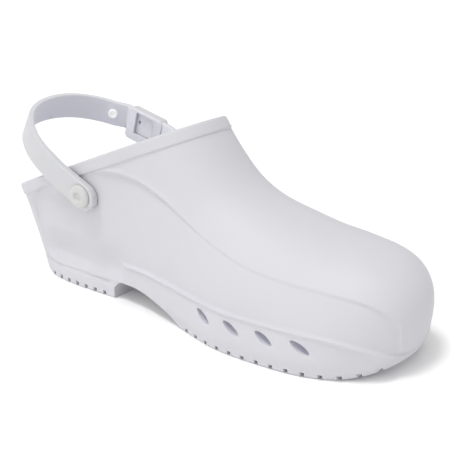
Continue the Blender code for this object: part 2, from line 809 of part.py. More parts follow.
def bandSections(points, tilts, startRound, endRound):
    """Sections of a flat band along a line; a round end narrows to half a disc."""
    lengths = [0.0]
    for a, b in zip(points[:-1], points[1:]):
        lengths.append(lengths[-1] + (b - a).length)
    total = lengths[-1]
    made = []
    for place, point in enumerate(points):
        share = lengths[place] / total
        before = points[max(place - 1, 0)]
        after = points[min(place + 1, len(points) - 1)]
        way = (after - before).normalized()
        up = tilts(share)
        up = (up - way * up.dot(way)).normalized()
        out = way.cross(up).normalized()
        width = strapWidth / 2
        ends = []
        if startRound:
            ends.append(lengths[place])
        if endRound:
            ends.append(total - lengths[place])
        for far in ends:
            if far < strapWidth / 2:
                half = strapWidth / 2
                width = math.sqrt(max(half ** 2 - (half - far) ** 2, strapSoftEdge ** 2))
        thick = strapThickness
        if startRound:
            thick += (strapPad - strapThickness) * (1 - step(*padFade, share))
        made.append((point, up, out, width, thick))
    return made


def addBand(mesh, made):
    """Flat band with softened long edges."""
    soft = strapSoftEdge
    rings = []
    for point, up, out, width, thickness in made:
        corners = []
        edge = min(soft, width / 2)
        for sideUp, sideOut in ((1, 1), (1, -1), (-1, -1), (-1, 1)):
            first = up * sideUp * width + out * sideOut * (thickness / 2 - soft)
            second = up * sideUp * (width - edge) + out * sideOut * thickness / 2
            corners += [first, second] if sideUp == -sideOut else [second, first]
        rings.append([mesh.verts.new(point + corner) for corner in corners])
    count = len(rings[0])
    for near, far in zip(rings[:-1], rings[1:]):
        for place in range(count):
            after = (place + 1) % count
            mesh.faces.new((near[place], near[after], far[after], far[place]))
    mesh.faces.new(rings[0])
    mesh.faces.new(list(reversed(rings[-1])))
    bmesh.ops.recalc_face_normals(mesh, faces=mesh.faces)


def roundEnd(centre, way, towards):
    """Points of a band's round end, from its tip to where it is full width."""
    radius = strapWidth / 2
    made = [centre - way * radius * (1 - share) for share in roundEndSteps]
    return made if towards else list(reversed(made))


def strapLines():
    """Middle lines of the long strap and of the short strap beyond the sleeve."""
    outerPoint = centred(outerPin[0], strapSide(outerPin, -1), outerPin[1])
    innerPoint = centred(innerPin[0], strapSide(innerPin, 1), innerPin[1])
    route = [strapPoint(*shares) for shares in strapRoute.values()]
    middle = strapPoint(*sleeveSpot)
    way = Vector(sleeveWay).normalized()
    longEnd = middle + way * (sleeveLength / 2 - sleeveWall - sleeveSlack)
    entry = [middle - way * (sleeveLength / 2 + 2 * sleeveSlack), middle - way * sleeveLength / 2]
    longPoints = [outerPoint] + route + entry + [middle, longEnd]
    longLine = routePoints(longPoints)
    startWay = (longLine[1] - longLine[0]).normalized()
    longLine = roundEnd(outerPoint - startWay * padAhead, startWay, True) + longLine
    ends = [strapPoint(*shares) for shares in shortRoute.values()]
    shortStart = middle + way * (sleeveLength / 2 - sleeveWall / 2)
    shortLine = routePoints([shortStart] + ends + [innerPoint])
    endWay = (shortLine[-2] - shortLine[-1]).normalized()
    shortLine = shortLine + roundEnd(innerPoint, endWay, False)
    seats = [
        seatOn(longLine, longTilt, outerPoint, -1) + (strapPad,),
        seatOn(shortLine, shortTilt, innerPoint, 1) + (strapThickness,),
    ]
    return longLine, shortLine, middle, way, seats


def seatOn(line, tilts, point, side):
    """Place of a pin on a strap's middle line, and the direction square to the strap."""
    made = bandSections(line, tilts, False, False)
    spot, up, out, width, thick = min(made, key=lambda item: (item[0] - point).length)
    return spot, (out if out.y * side > 0 else -out)


def longTilt(share):
    """The band leans forward at the outer pin and nearly stands upright at the sleeve."""
    lean = strapTilt + (sleeveTilt - strapTilt) * step(tiltChange[0], tiltChange[1], share)
    return Vector((math.sin(lean), 0, math.cos(lean)))


def shortTilt(share):
    return longTilt(1.0)


def addHole(mesh, seat, radius):
    """Round cutter through a strap at a seat."""
    point, out = seat[:2]
    outline = [turnTo(corner, out) for corner in roundOutline(radius)]
    addPrism(mesh, outline, point - out * cutterReach, point + out * cutterReach)


def buildStrap(finish, longLine, pinSeat, studSeat, holeSeat):
    mesh = bmesh.new()
    addBand(mesh, bandSections(longLine, longTilt, True, False))
    strap = addObject("heel_strap", mesh, finish)
    cutter = bmesh.new()
    addHole(cutter, pinSeat, pinShank / 2 + seatGap)
    addHole(cutter, studSeat, studShank / 2 + seatGap)
    addHole(cutter, holeSeat, strapHole / 2)
    addCutter("strapCutter", cutter, [strap])
    return strap


def turnTo(point, out):
    """Turn a point drawn about the Y axis so that Y becomes the given direction."""
    return Vector((0, 1, 0)).rotation_difference(out).to_matrix() @ point


def sleeveFrame(way):
    """The sleeve's three directions: along it, square to the strap, and up."""
    up = shortTilt(0.0)
    up = (up - way * up.dot(way)).normalized()
    return way, way.cross(up).normalized(), up


def buildSleeve(finish, shortLine, middle, way, pinSeat, holeSeat):
    """Sleeve round the strap's end, in one piece with the short strap to the inner pin."""
    mesh = bmesh.new()
    addBand(mesh, bandSections(shortLine, shortTilt, False, True))
    sleeve = addObject("strap_sleeve", mesh, finish)
    way, out, up = sleeveFrame(way)
    frame = Matrix((way, out, up)).transposed()
    block = bmesh.new()
    channel = strapThickness + 2 * seatGap
    height = strapWidth + 2 * seatGap + sleeveOver + sleeveUnder
    depth = channel + 2 * sleeveFace
    centre = middle + up * (sleeveOver - sleeveUnder) / 2
    addSoftBlock(block, frame, centre, sleeveLength, depth, height, sleeveCorner)
    union = addObject("sleeveBlock", block, smooth=False)
    union.hide_render = True
    union.display_type = "WIRE"
    join = sleeve.modifiers.new("sleeveBlock", "BOOLEAN")
    join.operation = "UNION"
    join.solver = "EXACT"
    join.object = union
    cutter = bmesh.new()
    reach = sleeveLength - sleeveWall + sleeveSlack
    centre = middle - way * (sleeveWall + sleeveSlack) / 2
    addFrameBox(cutter, frame, centre, reach, channel, strapWidth + 2 * seatGap)
    addCutter("channelCutter", cutter, [sleeve])
    window = bmesh.new()
    inward = out if out.y < 0 else -out
    centre = middle + way * windowAhead + inward * (channel / 2 + sleeveFace)
    addFrameBox(window, frame, centre, sleeveWindow, 3 * sleeveFace, strapWidth - 2 * windowFrame)
    addCutter("windowCutter", window, [sleeve])
    hole = bmesh.new()
    addHole(hole, pinSeat, pinShank / 2 + seatGap)
    addHole(hole, holeSeat, strapHole / 2)
    addCutter("sleeveHole", hole, [sleeve])
    return sleeve


def addFrameBox(mesh, frame, centre, along, across, up):
    corners = []
    for a, u in ((-1, -1), (1, -1), (1, 1), (-1, 1)):
        corners.append(frame @ Vector((a * along / 2, 0, u * up / 2)) + centre)
    direction = frame @ Vector((0, across / 2, 0))
    addPrism(mesh, corners, -direction, direction)


def addSoftBlock(mesh, frame, centre, along, across, up, corner):
    """Block with rounded corners, seen from its broad side."""
    outline = []
    for number, (a, u) in enumerate(((1, 1), (-1, 1), (-1, -1), (1, -1))):
        for place in range(cornerSteps + 1):
            turn = math.pi / 2 * (number + place / cornerSteps)
            x = a * (along / 2 - corner) + corner * math.cos(turn)
            z = u * (up / 2 - corner) + corner * math.sin(turn)
            outline.append(frame @ Vector((x, 0, z)) + centre)
    direction = frame @ Vector((0, across / 2, 0))
    addPrism(mesh, outline, -direction, direction)


def turned(name, profile, centre, out, finish):
    """Round piece from a closed half profile of (radius, height along out)."""
    mesh = bmesh.new()
    rings = []
    for radius, height in profile:
        if radius < weld:
            rings.append([mesh.verts.new(centre + out * height)])
            continue
        ring = []
        for corner in roundOutline(radius):
            ring.append(mesh.verts.new(centre + turnTo(corner, out) + out * height))
        rings.append(ring)
    for first, second in zip(rings[:-1], rings[1:]):
        for place in range(roundSteps):
            after = (place + 1) % roundSteps
            corners = [first[place % len(first)], first[after % len(first)],
                       second[after % len(second)], second[place % len(second)]]
            mesh.faces.new(list(dict.fromkeys(corners)))
    bmesh.ops.recalc_face_normals(mesh, faces=mesh.faces)
    return addObject(name, mesh, finish)


def buildPin(name, seat, finish):
    """Push pin: broad head with a dimple, shank through strap and wall, tail inside the shoe."""
    point, out, thick = seat
    under = thick / 2 + seatGap
    top = under + pinHeadThickness
    inside = -(thick / 2 + strapOffWall + bandStep + upperWall + 3 * seatGap)
    head = pinHead / 2
    dimple = pinDimple / 2
    shank = pinShank / 2
    profile = [(0.0, top - pinDimpleDepth)]
    profile += [(radius * dimple, top - drop * pinDimpleDepth) for radius, drop in pinDimpleProfile]
    profile += [(radius * head, top - drop * pinHeadThickness) for radius, drop in pinHeadProfile]
    profile += [
        (head, under), (shank, under), (shank, inside), (pinTail / 2, inside),
        (pinTailEnd * pinTail / 2, inside - pinTailThickness), (0.0, inside - pinTailThickness),
    ]
    return turned(name, profile, point, out, finish)


def studSpot(longLine):
    """Seat of the small stud in the long strap, just behind the sleeve."""
    made = bandSections(longLine, longTilt, True, False)
    middle = strapPoint(*sleeveSpot)
    far = [item for item in made if item[0].y > 0]
    spot = min(far, key=lambda item: abs((item[0] - middle).length - studBehind))[0]
    return seatOn(longLine, longTilt, spot, -1)


def buildStud(finish, studPlace):
    point, out = studPlace
    face = strapThickness / 2 + seatGap
    head = studHead / 2
    shank = studShank / 2
    profile = [(radius * head, face + rise * studHeadThickness) for radius, rise in studProfile]
    profile += [(shank, face), (shank, -face)]
    profile += [(radius * head, -face - rise * studHeadThickness) for radius, rise in reversed(studProfile[-3:])]
    profile.append((0.0, -face - studHeadThickness))
    return turned("strap_stud", profile, point, out, finish)


def main():
    clearScene()
    white = material("mouldedWhite", (0.80, 0.80, 0.83), 0.5)
    sole = material("insoleWhite", (0.78, 0.78, 0.82), 0.7)
    strapWhite = material("strapWhite", (0.78, 0.78, 0.81), 0.48)
    pinWhite = material("pinWhite", (0.82, 0.81, 0.76), 0.35)
    longLine, shortLine, middle, way, pinSeats = strapLines()
    studSeat = studSpot(longLine)
    way, out, up = sleeveFrame(way)
    holeSeat = (middle - way * holeBehind + up * holeRise, out)
    buildBody(white, pinSeats)
    buildInsole(sole)
    buildStrap(strapWhite, longLine, pinSeats[0], studSeat, holeSeat)
    buildSleeve(strapWhite, shortLine, middle, way, pinSeats[1], holeSeat)
    buildPin("pin_outer", pinSeats[0], pinWhite)
    buildPin("pin_inner", pinSeats[1], pinWhite)
    buildStud(pinWhite, studSeat)


main()
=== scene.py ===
# White moulded clog for the right foot, with a pinned heel strap.
# Metres, +X to the toe, +Y to the inner side, +Z up, floor at 0 under the middle of the shoe.
import math
import bmesh
import bpy
import numpy as np
from mathutils import Matrix, Vector
from mathutils.bvhtree import BVHTree


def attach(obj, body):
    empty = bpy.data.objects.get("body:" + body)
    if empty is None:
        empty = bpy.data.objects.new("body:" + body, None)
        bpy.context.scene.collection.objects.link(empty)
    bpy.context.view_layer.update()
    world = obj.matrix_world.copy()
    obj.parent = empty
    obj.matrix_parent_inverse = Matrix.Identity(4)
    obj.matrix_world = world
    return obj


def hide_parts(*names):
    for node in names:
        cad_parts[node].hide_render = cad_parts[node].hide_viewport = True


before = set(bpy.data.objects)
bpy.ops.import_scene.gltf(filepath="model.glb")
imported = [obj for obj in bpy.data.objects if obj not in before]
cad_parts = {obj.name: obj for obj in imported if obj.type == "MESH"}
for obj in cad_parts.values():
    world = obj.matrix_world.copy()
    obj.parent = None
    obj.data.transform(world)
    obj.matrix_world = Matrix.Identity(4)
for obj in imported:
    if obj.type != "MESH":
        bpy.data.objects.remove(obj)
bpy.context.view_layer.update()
mm = 0.001
deg = math.radians(1)


# Small helpers for smooth curves

def ease(low, high, value):
    part = np.clip((value - low) / (high - low), 0.0, 1.0)
    return part * part * (3 - 2 * part)


def bump(middle, width, value):
    return np.exp(-((value - middle) / width) ** 2)


def loopSlopes(values):
    # slopes of a smooth closed curve through evenly numbered values
    count = len(values)
    even = np.eye(count)
    matrix = 4 * even + np.roll(even, 1, axis=1) + np.roll(even, -1, axis=1)
    return np.linalg.solve(matrix, 3 * (np.roll(values, -1, axis=0) - np.roll(values, 1, axis=0)))


def loopCurve(values):
    values = np.asarray(values, float)
    slopes = loopSlopes(values)
    count = len(values)

    def read(turn):
        low = np.floor(turn).astype(int)
        part = turn - low
        a, b = values[low % count], values[(low + 1) % count]
        da, db = slopes[low % count], slopes[(low + 1) % count]
        first = (1 + 2 * part) * (1 - part) ** 2 * a + part * (1 - part) ** 2 * da
        return first + part ** 2 * (3 - 2 * part) * b + part ** 2 * (part - 1) * db

    return read


def tableCurve(xs, values):
    # natural cubic through a table, read back from a fine row of samples
    samples = 1200
    xs, values = np.asarray(xs, float), np.asarray(values, float)
    gaps = np.diff(xs)
    count = len(xs)
    matrix = np.zeros((count, count))
    right = np.zeros(count)
    matrix[0, 0] = matrix[-1, -1] = 1
    for i in range(1, count - 1):
        matrix[i, i - 1:i + 2] = gaps[i - 1], 2 * (gaps[i - 1] + gaps[i]), gaps[i]
        right[i] = 6 * ((values[i + 1] - values[i]) / gaps[i] - (values[i] - values[i - 1]) / gaps[i - 1])
    bends = np.linalg.solve(matrix, right)
    fine = np.linspace(xs[0], xs[-1], samples)
    place = np.clip(np.searchsorted(xs, fine, side="right") - 1, 0, count - 2)
    gap = gaps[place]
    near, far = xs[place + 1] - fine, fine - xs[place]
    made = (bends[place] * near ** 3 + bends[place + 1] * far ** 3) / (6 * gap)
    made += (values[place] / gap - bends[place] * gap / 6) * near
    made += (values[place + 1] / gap - bends[place + 1] * gap / 6) * far
    return lambda x: np.interp(x, fine, made)


# The body's shape: ribs run from the sole's edge up to a ridge along the top

body = {
    "length": 280 * mm, "ballWidth": 100 * mm, "heelWidth": 70.5 * mm,
    "instepHeight": 108 * mm, "toeHeight": 55 * mm, "rimHeight": 47 * mm,
    "toeSpring": 8.5 * mm, "springStart": 0.893,
    "upperWall": 3.6 * mm, "soleWall": 5.4 * mm, "soleWallTop": 26 * mm, "wallChange": 12 * mm,
    "heelBed": 33 * mm, "ballBed": 10 * mm, "bedCorner": 2 * mm,
    "collarEnd": 0.524,          # front of the collar, share of the length
    "stations": 12,              # mesh columns between two sections
    "topRows": 33, "liningRows": 30,
}
length = body["length"]

# outerX, innerX, ridgeX: shares of length. outerW, innerW: half widths, share of the heel width in the
# first nine rows and of the ball width after. bead, panel: heights of the side's two lines, share of
# the instep height. lean: share of the heel width. power: roundness of the rib.
sections = np.array([
    # outerX outerW innerX innerW ridgeX bead  panel  lean  power
    (0.072, 0.000, 0.072, 0.000, 0.180, 0.180, 0.560, 0.255, 3.0),
    (0.077, 0.130, 0.077, 0.130, 0.185, 0.180, 0.560, 0.245, 3.0),
    (0.090, 0.246, 0.090, 0.246, 0.190, 0.180, 0.565, 0.200, 3.0),
    (0.112, 0.343, 0.112, 0.340, 0.200, 0.180, 0.575, 0.135, 3.0),
    (0.143, 0.425, 0.143, 0.420, 0.215, 0.180, 0.600, 0.075, 3.0),
    (0.182, 0.476, 0.182, 0.470, 0.235, 0.185, 0.635, 0.030, 3.0),
    (0.235, 0.497, 0.235, 0.492, 0.270, 0.195, 0.665, 0.005, 3.0),
    (0.295, 0.497, 0.295, 0.490, 0.320, 0.210, 0.690, 0.000, 3.0),
    (0.357, 0.487, 0.357, 0.470, 0.375, 0.220, 0.712, 0.000, 2.9),
    (0.420, 0.345, 0.420, 0.322, 0.430, 0.230, 0.703, 0.000, 2.6),
    (0.480, 0.368, 0.480, 0.334, 0.485, 0.228, 0.654, 0.000, 2.3),
    (0.540, 0.400, 0.540, 0.372, 0.538, 0.220, 0.576, 0.000, 2.1),
    (0.600, 0.446, 0.600, 0.424, 0.596, 0.218, 0.503, 0.000, 2.1),
    (0.662, 0.486, 0.662, 0.470, 0.652, 0.219, 0.458, 0.000, 2.25),
    (0.725, 0.493, 0.725, 0.492, 0.706, 0.218, 0.425, 0.000, 2.4),
    (0.790, 0.481, 0.790, 0.484, 0.755, 0.219, 0.407, 0.000, 2.5),
    (0.848, 0.452, 0.848, 0.460, 0.792, 0.220, 0.403, 0.020, 2.7),
    (0.900, 0.391, 0.900, 0.397, 0.816, 0.209, 0.394, 0.060, 2.8),
    (0.940, 0.308, 0.938, 0.307, 0.827, 0.164, 0.362, 0.100, 3.0),
    (0.967, 0.222, 0.963, 0.222, 0.830, 0.101, 0.305, 0.125, 3.1),
    (0.983, 0.122, 0.981, 0.112, 0.830, 0.055, 0.270, 0.135, 3.1),
    (0.988, 0.005, 0.988, -0.005, 0.830, 0.038, 0.260, 0.135, 3.1),
])
heelRows = 9
lastRow = len(sections) - 1
turnCount = 2 * lastRow

ridgeTable = np.array([
    # x     instep  toe
    (0.00, 2.95, 0.00), (0.25, 2.15, 0.00), (0.40, 1.50, 0.00), (0.47, 1.20, 0.00),
    (0.524, 1.00, 0.00), (0.59, 0.70, 0.15), (0.65, 0.42, 0.46), (0.72, 0.21, 0.745),
    (0.80, 0.08, 0.91), (0.86, 0.02, 0.99), (0.93, 0.00, 1.00), (1.00, 0.00, 0.98),
])
ridgeHeights = ridgeTable[:, 1] * body["instepHeight"] + ridgeTable[:, 2] * body["toeHeight"]
ridgeHeight = tableCurve(ridgeTable[:, 0] * length, ridgeHeights)
ridgeSide = tableCurve(np.array((0.0, 0.45, 0.65, 0.83)) * length,
                       np.array((0.0, 0.0, 0.02, 0.03)) * body["ballWidth"])
bedShare = tableCurve(np.array((0.0, 0.27, 0.37, 0.46, 0.54, 0.62, 0.70, 1.0)) * length,
                      (1.0, 0.98, 0.82, 0.52, 0.22, 0.03, 0.0, 0.0))
collarX = body["collarEnd"] * length
collarSlope = (body["instepHeight"] - body["rimHeight"]) / collarX
rimPoint = np.array((0.0, 0.0, body["rimHeight"]))
rimNormal = np.array((-collarSlope, 0.0, 1.0)) / math.hypot(collarSlope, 1.0)


def loopOf(outerColumn, innerColumn):
    return np.concatenate((sections[:, outerColumn], sections[-2:0:-1, innerColumn]))


widths = np.where(np.arange(lastRow + 1) < heelRows, body["heelWidth"], body["ballWidth"])
outerSide = -sections[:, 1] * widths
innerSide = (sections[:, 3] * widths)[-2:0:-1]
planX = loopCurve(loopOf(0, 2) * length)
planY = loopCurve(np.concatenate((outerSide, innerSide)))
ridgeEnd = loopCurve(loopOf(4, 4))
beadShare = loopCurve(loopOf(5, 5))
panelShare = loopCurve(loopOf(6, 6))
leanShare = loopCurve(loopOf(7, 7))
powerOf = loopCurve(loopOf(8, 8))


def floorHeight(x):
    start = body["springStart"] * length
    return body["toeSpring"] * (np.maximum(x - start, 0.0) / (length - start)) ** 2


def bedHeight(x):
    return body["ballBed"] + (body["heelBed"] - body["ballBed"]) * bedShare(x) + floorHeight(x)


def ribsAt(turn):
    # what each rib needs; a turn counts sections, out along the outer side and back along the inner one
    turn = np.asarray(turn, float)
    x, y = planX(turn), planY(turn)
    ridgeX = np.minimum(ridgeEnd(turn), sections[:, 4].max()) * length
    edge = floorHeight(x)
    return {
        "x": x, "y": y, "edge": edge, "ridgeX": ridgeX, "ridgeY": ridgeSide(ridgeX),
        "bead": edge + beadShare(turn) * body["instepHeight"],
        "panel": edge + panelShare(turn) * body["instepHeight"],
        "lean": leanShare(turn) * body["heelWidth"], "power": powerOf(turn),
    }


def ribPoint(rib, share):
    # point of the plain surface at a share of the way from the sole's edge to the ridge
    rise = (1 - (1 - share) ** rib["power"]) ** (1 / rib["power"])
    x = rib["x"] + share * (rib["ridgeX"] - rib["x"])
    y = rib["y"] + share * (rib["ridgeY"] - rib["y"])
    z = rib["edge"] * (1 - rise) + rise * ridgeHeight(x)
    out = rib["lean"] * (z - rib["edge"]) / body["rimHeight"] * (1 - share)
    span = np.hypot(rib["ridgeX"] - rib["x"], rib["ridgeY"] - rib["y"])
    x = x - out * (rib["ridgeX"] - rib["x"]) / span
    y = y - out * (rib["ridgeY"] - rib["y"]) / span
    return np.stack((x, y, z), axis=-1)


def bisected(short, low, high):
    # closes in from both sides; short(value) is true while the value is too low
    for _ in range(34):
        middle = (low + high) / 2
        under = short(middle)
        low, high = np.where(under, middle, low), np.where(under, high, middle)
    return low, high


def shareWhere(rib, test, shape):
    # share of each rib up to which test(points) is true
    low, high = bisected(lambda share: test(ribPoint(rib, share)), np.zeros(shape), np.ones(shape))
    return (low + high) / 2


def shareAtHeight(rib, height):
    return shareWhere(rib, lambda p: p[..., 2] < height, np.shape(height))


def unit(vectors):
    return vectors / np.maximum(np.linalg.norm(vectors, axis=-1, keepdims=True), 1e-12)


def outward(turn, share):
    # direction square to the plain surface, from small steps along it and up it
    turnStep, shareStep, atRidge = 0.01, 0.004, 0.9985
    along = ribPoint(ribsAt(turn + turnStep), share) - ribPoint(ribsAt(turn - turnStep), share)
    rib = ribsAt(turn)
    up = ribPoint(rib, np.minimum(share + shareStep, 1)) - ribPoint(rib, np.maximum(share - shareStep, 0))
    normal = unit(np.cross(along, up))
    ridge = ridgeOutward(rib["ridgeX"])
    return np.where((share > atRidge)[..., None], ridge, normal)


def ridgeOutward(x):
    step = 2 * mm
    climb = (ridgeHeight(x + step) - ridgeHeight(x - step)) / (2 * step)
    return unit(np.stack((-climb, np.zeros_like(climb), np.ones_like(climb)), axis=-1))


# Steps, edges and hollows of the wall

relief = {
    "baseRound": 1.4 * mm,
    "beadStep": 1.3 * mm, "beadLip": 1.0 * mm, "lipUnder": 1.1 * mm, "beadLeft": 0.5,
    "panelStep": 1.0 * mm, "panelLip": 0.3 * mm, "panelDrop": 0.8 * mm, "panelSoft": 0.65 * mm,
    "cornerFrom": 0.93, "cornerY": 16.5 * mm, "cornerRound": 14 * mm,    # turn of the panel line at the toe
    "dish": 0.9 * mm,                    # hollow of the side panel near the toe
    "scallop": 4.05 * mm, "scallopTop": 34 * mm, "scallopFoot": 9.6 * mm,
    "scallopIn": (-0.22, 0.55), "scallopOut": (0.62, 0.94),    # shares of the way down
    "heelLine": 1.0 * mm, "heelLineHeight": 9.6 * mm, "heelLineSoft": 0.75 * mm, "heelLineLeast": 0.4,
    "counter": 1.4 * mm, "counterEnd": 110 * mm,    # soft step round the back of the heel
    "counterEdge": (-0.4 * mm, 0.7 * mm), "counterFades": (6 * mm, 40 * mm),
    "counterFoot": (8 * mm, 13 * mm), "counterTop": (55 * mm, 62 * mm),
}
# where along the shoe each form comes, changes or ends, as shares of length
spans = {
    "bead": (0.371, 0.400), "beadThins": (0.955, 0.985),
    "panel": (0.300, 0.357), "panelSharpens": (0.48, 0.60), "panelThins": (0.50, 0.60),
    "panelGrows": (0.88, 0.96), "dish": (0.72, 0.90), "dishEnds": (0.955, 0.978),
    "scallop": (0.128, 0.178), "scallopEnds": (0.345, 0.410),
    "heelLine": (0.03, 0.19), "heelLineEnds": (0.338, 0.352),
}
# place of the counter's step along the shoe (second row) at each height (first row)
counterLine = tableCurve(np.array((8, 12.5, 20, 27, 39, 46, 51, 58, 64)) * mm,
                         np.array((64, 52, 41, 34.7, 30.8, 31.5, 34.5, 44, 62)) * mm)


def fade(name, x):
    start, end = spans[name]
    return ease(start * length, end * length, x)


def smoothMax(a, b, reach):
    part = np.clip(0.5 + 0.5 * (a - b) / reach, 0, 1)
    return b + (a - b) * part + reach * part * (1 - part)


def beadRelief(rib, z):
    # the sole stands out below the bead, with a rounded lip along its top
    overBead = z - rib["bead"]
    proud = fade("bead", rib["x"]) * (1 - (1 - relief["beadLeft"]) * fade("beadThins", rib["x"]))
    shoulder = 1 - ease(-relief["lipUnder"], 0.3 * mm, overBead)
    swell = ease(0.5 * mm, 9 * mm, z - rib["edge"])
    lip = bump(-relief["lipUnder"], 1.0 * mm, overBead)
    return proud * (relief["beadStep"] * shoulder * swell + relief["beadLip"] * lip)


def panelRelief(rib, z):
    # the top stands out over the panel line, which turns down beside the toe
    ribX, bead, panel = rib["x"], rib["bead"], rib["panel"]
    atToe = ribX > relief["cornerFrom"] * length
    farUnder = -40 * mm
    beyond = np.where(atToe, relief["cornerY"] - np.abs(rib["y"]), farUnder)
    over = smoothMax(z - panel + relief["panelDrop"], beyond, relief["cornerRound"])
    sharp = fade("panelSharpens", ribX)
    soft = relief["panelSoft"] + 0.4 * mm * (1 - sharp)
    strength = 1.1 - 0.55 * fade("panelThins", ribX) + 0.4 * fade("panelGrows", ribX)
    strength = strength * fade("panel", ribX) * np.where(atToe, ease(0.0, 2.5 * mm, z - bead), 1.0)
    lip = relief["panelLip"] * (2 - sharp) * bump(soft * 1.7, soft * 1.2, over)
    between = np.clip((z - bead) / np.maximum(panel - bead, 1 * mm), 0, 1)
    dish = relief["dish"] * fade("dish", ribX) * (1 - fade("dishEnds", ribX))
    return strength * (relief["panelStep"] * ease(-soft, soft, over) + lip) - dish * np.sin(math.pi * between)


def heelHollow(x, z):
    # sweep of the heel block, line over its tread, and soft step of the counter
    down = (relief["scallopTop"] - z) / (relief["scallopTop"] - relief["scallopFoot"])
    deeper = ease(*relief["scallopIn"], down) - ease(*relief["scallopIn"], 0.0)
    sweep = np.where((down > 0) & (down < 1), deeper, 0.0) * (1 - ease(*relief["scallopOut"], down))
    sweep = sweep * fade("scallop", x) * (1 - fade("scallopEnds", x))
    least = relief["heelLineLeast"]
    lineOn = (fade("heelLine", x) * (1 - least) + least) * (1 - fade("heelLineEnds", x))
    line = lineOn * bump(relief["heelLineHeight"], relief["heelLineSoft"], z)
    past = x - counterLine(z)
    counter = ease(*relief["counterEdge"], past) * (1 - ease(*relief["counterFades"], past))
    counter = counter * ease(*relief["counterFoot"], z) * (1 - ease(*relief["counterTop"], z))
    counter = counter * (x < relief["counterEnd"])
    return relief["scallop"] * sweep + relief["heelLine"] * line + relief["counter"] * counter


def reliefAt(rib, points):
    x, z = points[..., 0], points[..., 2]
    around = relief["baseRound"]
    inset = around - np.clip(z - rib["edge"], 0, around)
    rounding = around - np.sqrt(np.maximum(around ** 2 - inset ** 2, 0))
    return beadRelief(rib, z) + panelRelief(rib, z) - heelHollow(x, z) - rounding


ventRow = {"length": 11.6 * mm, "width": 4.1 * mm, "tilt": -27 * deg, "first": 0.636, "pitch": 0.0707,
           "count": 4, "height": 16.0 * mm, "lip": 0.55 * mm, "lipFrom": 0.75, "lipTo": 1.55,
           "middle": 44 * mm, "depth": 22 * mm, "corners": 40, "roundness": 0.35}


def ventDip(points):
    # rounded lip round each vent
    x, z = points[..., 0], points[..., 2]
    dip = np.zeros_like(x)
    for number in range(ventRow["count"]):
        place = (ventRow["first"] + number * ventRow["pitch"]) * length
        dx, dz = x - place, z - ventRow["height"]
        a = dx * math.cos(ventRow["tilt"]) + dz * math.sin(ventRow["tilt"])
        b = -dx * math.sin(ventRow["tilt"]) + dz * math.cos(ventRow["tilt"])
        far = np.sqrt((a / (ventRow["length"] / 2)) ** 2 + (b / (ventRow["width"] / 2)) ** 2)
        dip += ventRow["lip"] * (1 - ease(ventRow["lipFrom"], ventRow["lipTo"], far))
    return dip


def surfacePoint(turn, share):
    # the finished outer surface; near the sole's edge its steps stand out level
    rib = ribsAt(turn)
    plain = ribPoint(rib, share)
    normal = outward(turn, share)
    low = 1 - ease(1 * mm, 5 * mm, plain[..., 2] - rib["edge"])
    flat = unit(normal * np.array((1.0, 1.0, 0.0)))
    normal = unit(normal * (1 - low[..., None]) + flat * low[..., None])
    out = reliefAt(rib, plain) - ventDip(plain)
    return plain + normal * out[..., None], normal


def centred(points):
    return np.asarray(points) - np.array((length / 2, 0.0, 0.0))


# Mesh building

def gridFaces(rows, count, closed=False):
    # faces between rings of points; closed joins the last ring to the first
    made = []
    for row in range(rows if closed else rows - 1):
        low, high = row * count, (row + 1) % rows * count
        for place in range(count):
            after = (place + 1) % count
            made.append((low + place, low + after, high + after, high + place))
    return made


def barFaces(rows, count):
    # the same with one flat face at each end
    ends = [tuple(range(count)), tuple(range(rows * count - 1, (rows - 1) * count - 1, -1))]
    return gridFaces(rows, count) + ends


def capFaces(start, count):
    # faces across a ring, between points that face each other
    made = []
    for place in range(count // 2):
        a, b = start + place, start + place + 1
        c, d = start + (count - place - 1) % count, start + (count - place) % count
        corners = list(dict.fromkeys((a, d, c, b)))
        if len(corners) > 2:
            made.append(tuple(corners))
    return made


def reshape(data, change):
    mesh = bmesh.new()
    mesh.from_mesh(data)
    change(mesh)
    mesh.to_mesh(data)
    mesh.free()


def meshFrom(name, points, faces, merge=0.02 * mm):
    def clean(mesh):
        bmesh.ops.remove_doubles(mesh, verts=mesh.verts, dist=merge)
        bmesh.ops.dissolve_degenerate(mesh, edges=mesh.edges, dist=merge / 10)
        bmesh.ops.recalc_face_normals(mesh, faces=mesh.faces)

    data = bpy.data.meshes.new(name)
    data.from_pydata([tuple(p) for p in points], [], faces)
    reshape(data, clean)
    return data


def addPiece(name, data, finish=None, smooth=0):
    piece = bpy.data.objects.new(name, data)
    bpy.context.scene.collection.objects.link(piece)
    if smooth:
        data.shade_smooth()
        data.set_sharp_from_angle(angle=smooth * deg)
    if finish:
        data.materials.clear()
        data.materials.append(finish)
    return piece


def plainMesh(piece):
    # apply the modifiers and leave a plain mesh
    depsgraph = bpy.context.evaluated_depsgraph_get()
    data = bpy.data.meshes.new_from_object(piece.evaluated_get(depsgraph))
    piece.modifiers.clear()
    old = piece.data
    piece.data = data
    if isinstance(old, bpy.types.Mesh):
        bpy.data.meshes.remove(old)
    return piece


def cutWith(piece, *cutters, operation="DIFFERENCE"):
    for cutter in cutters:
        cut = piece.modifiers.new("cut", "BOOLEAN")
        cut.operation = operation
        cut.solver = "EXACT"
        cut.object = cutter
    plainMesh(piece)
    for cutter in cutters:
        bpy.data.objects.remove(cutter, do_unlink=True)


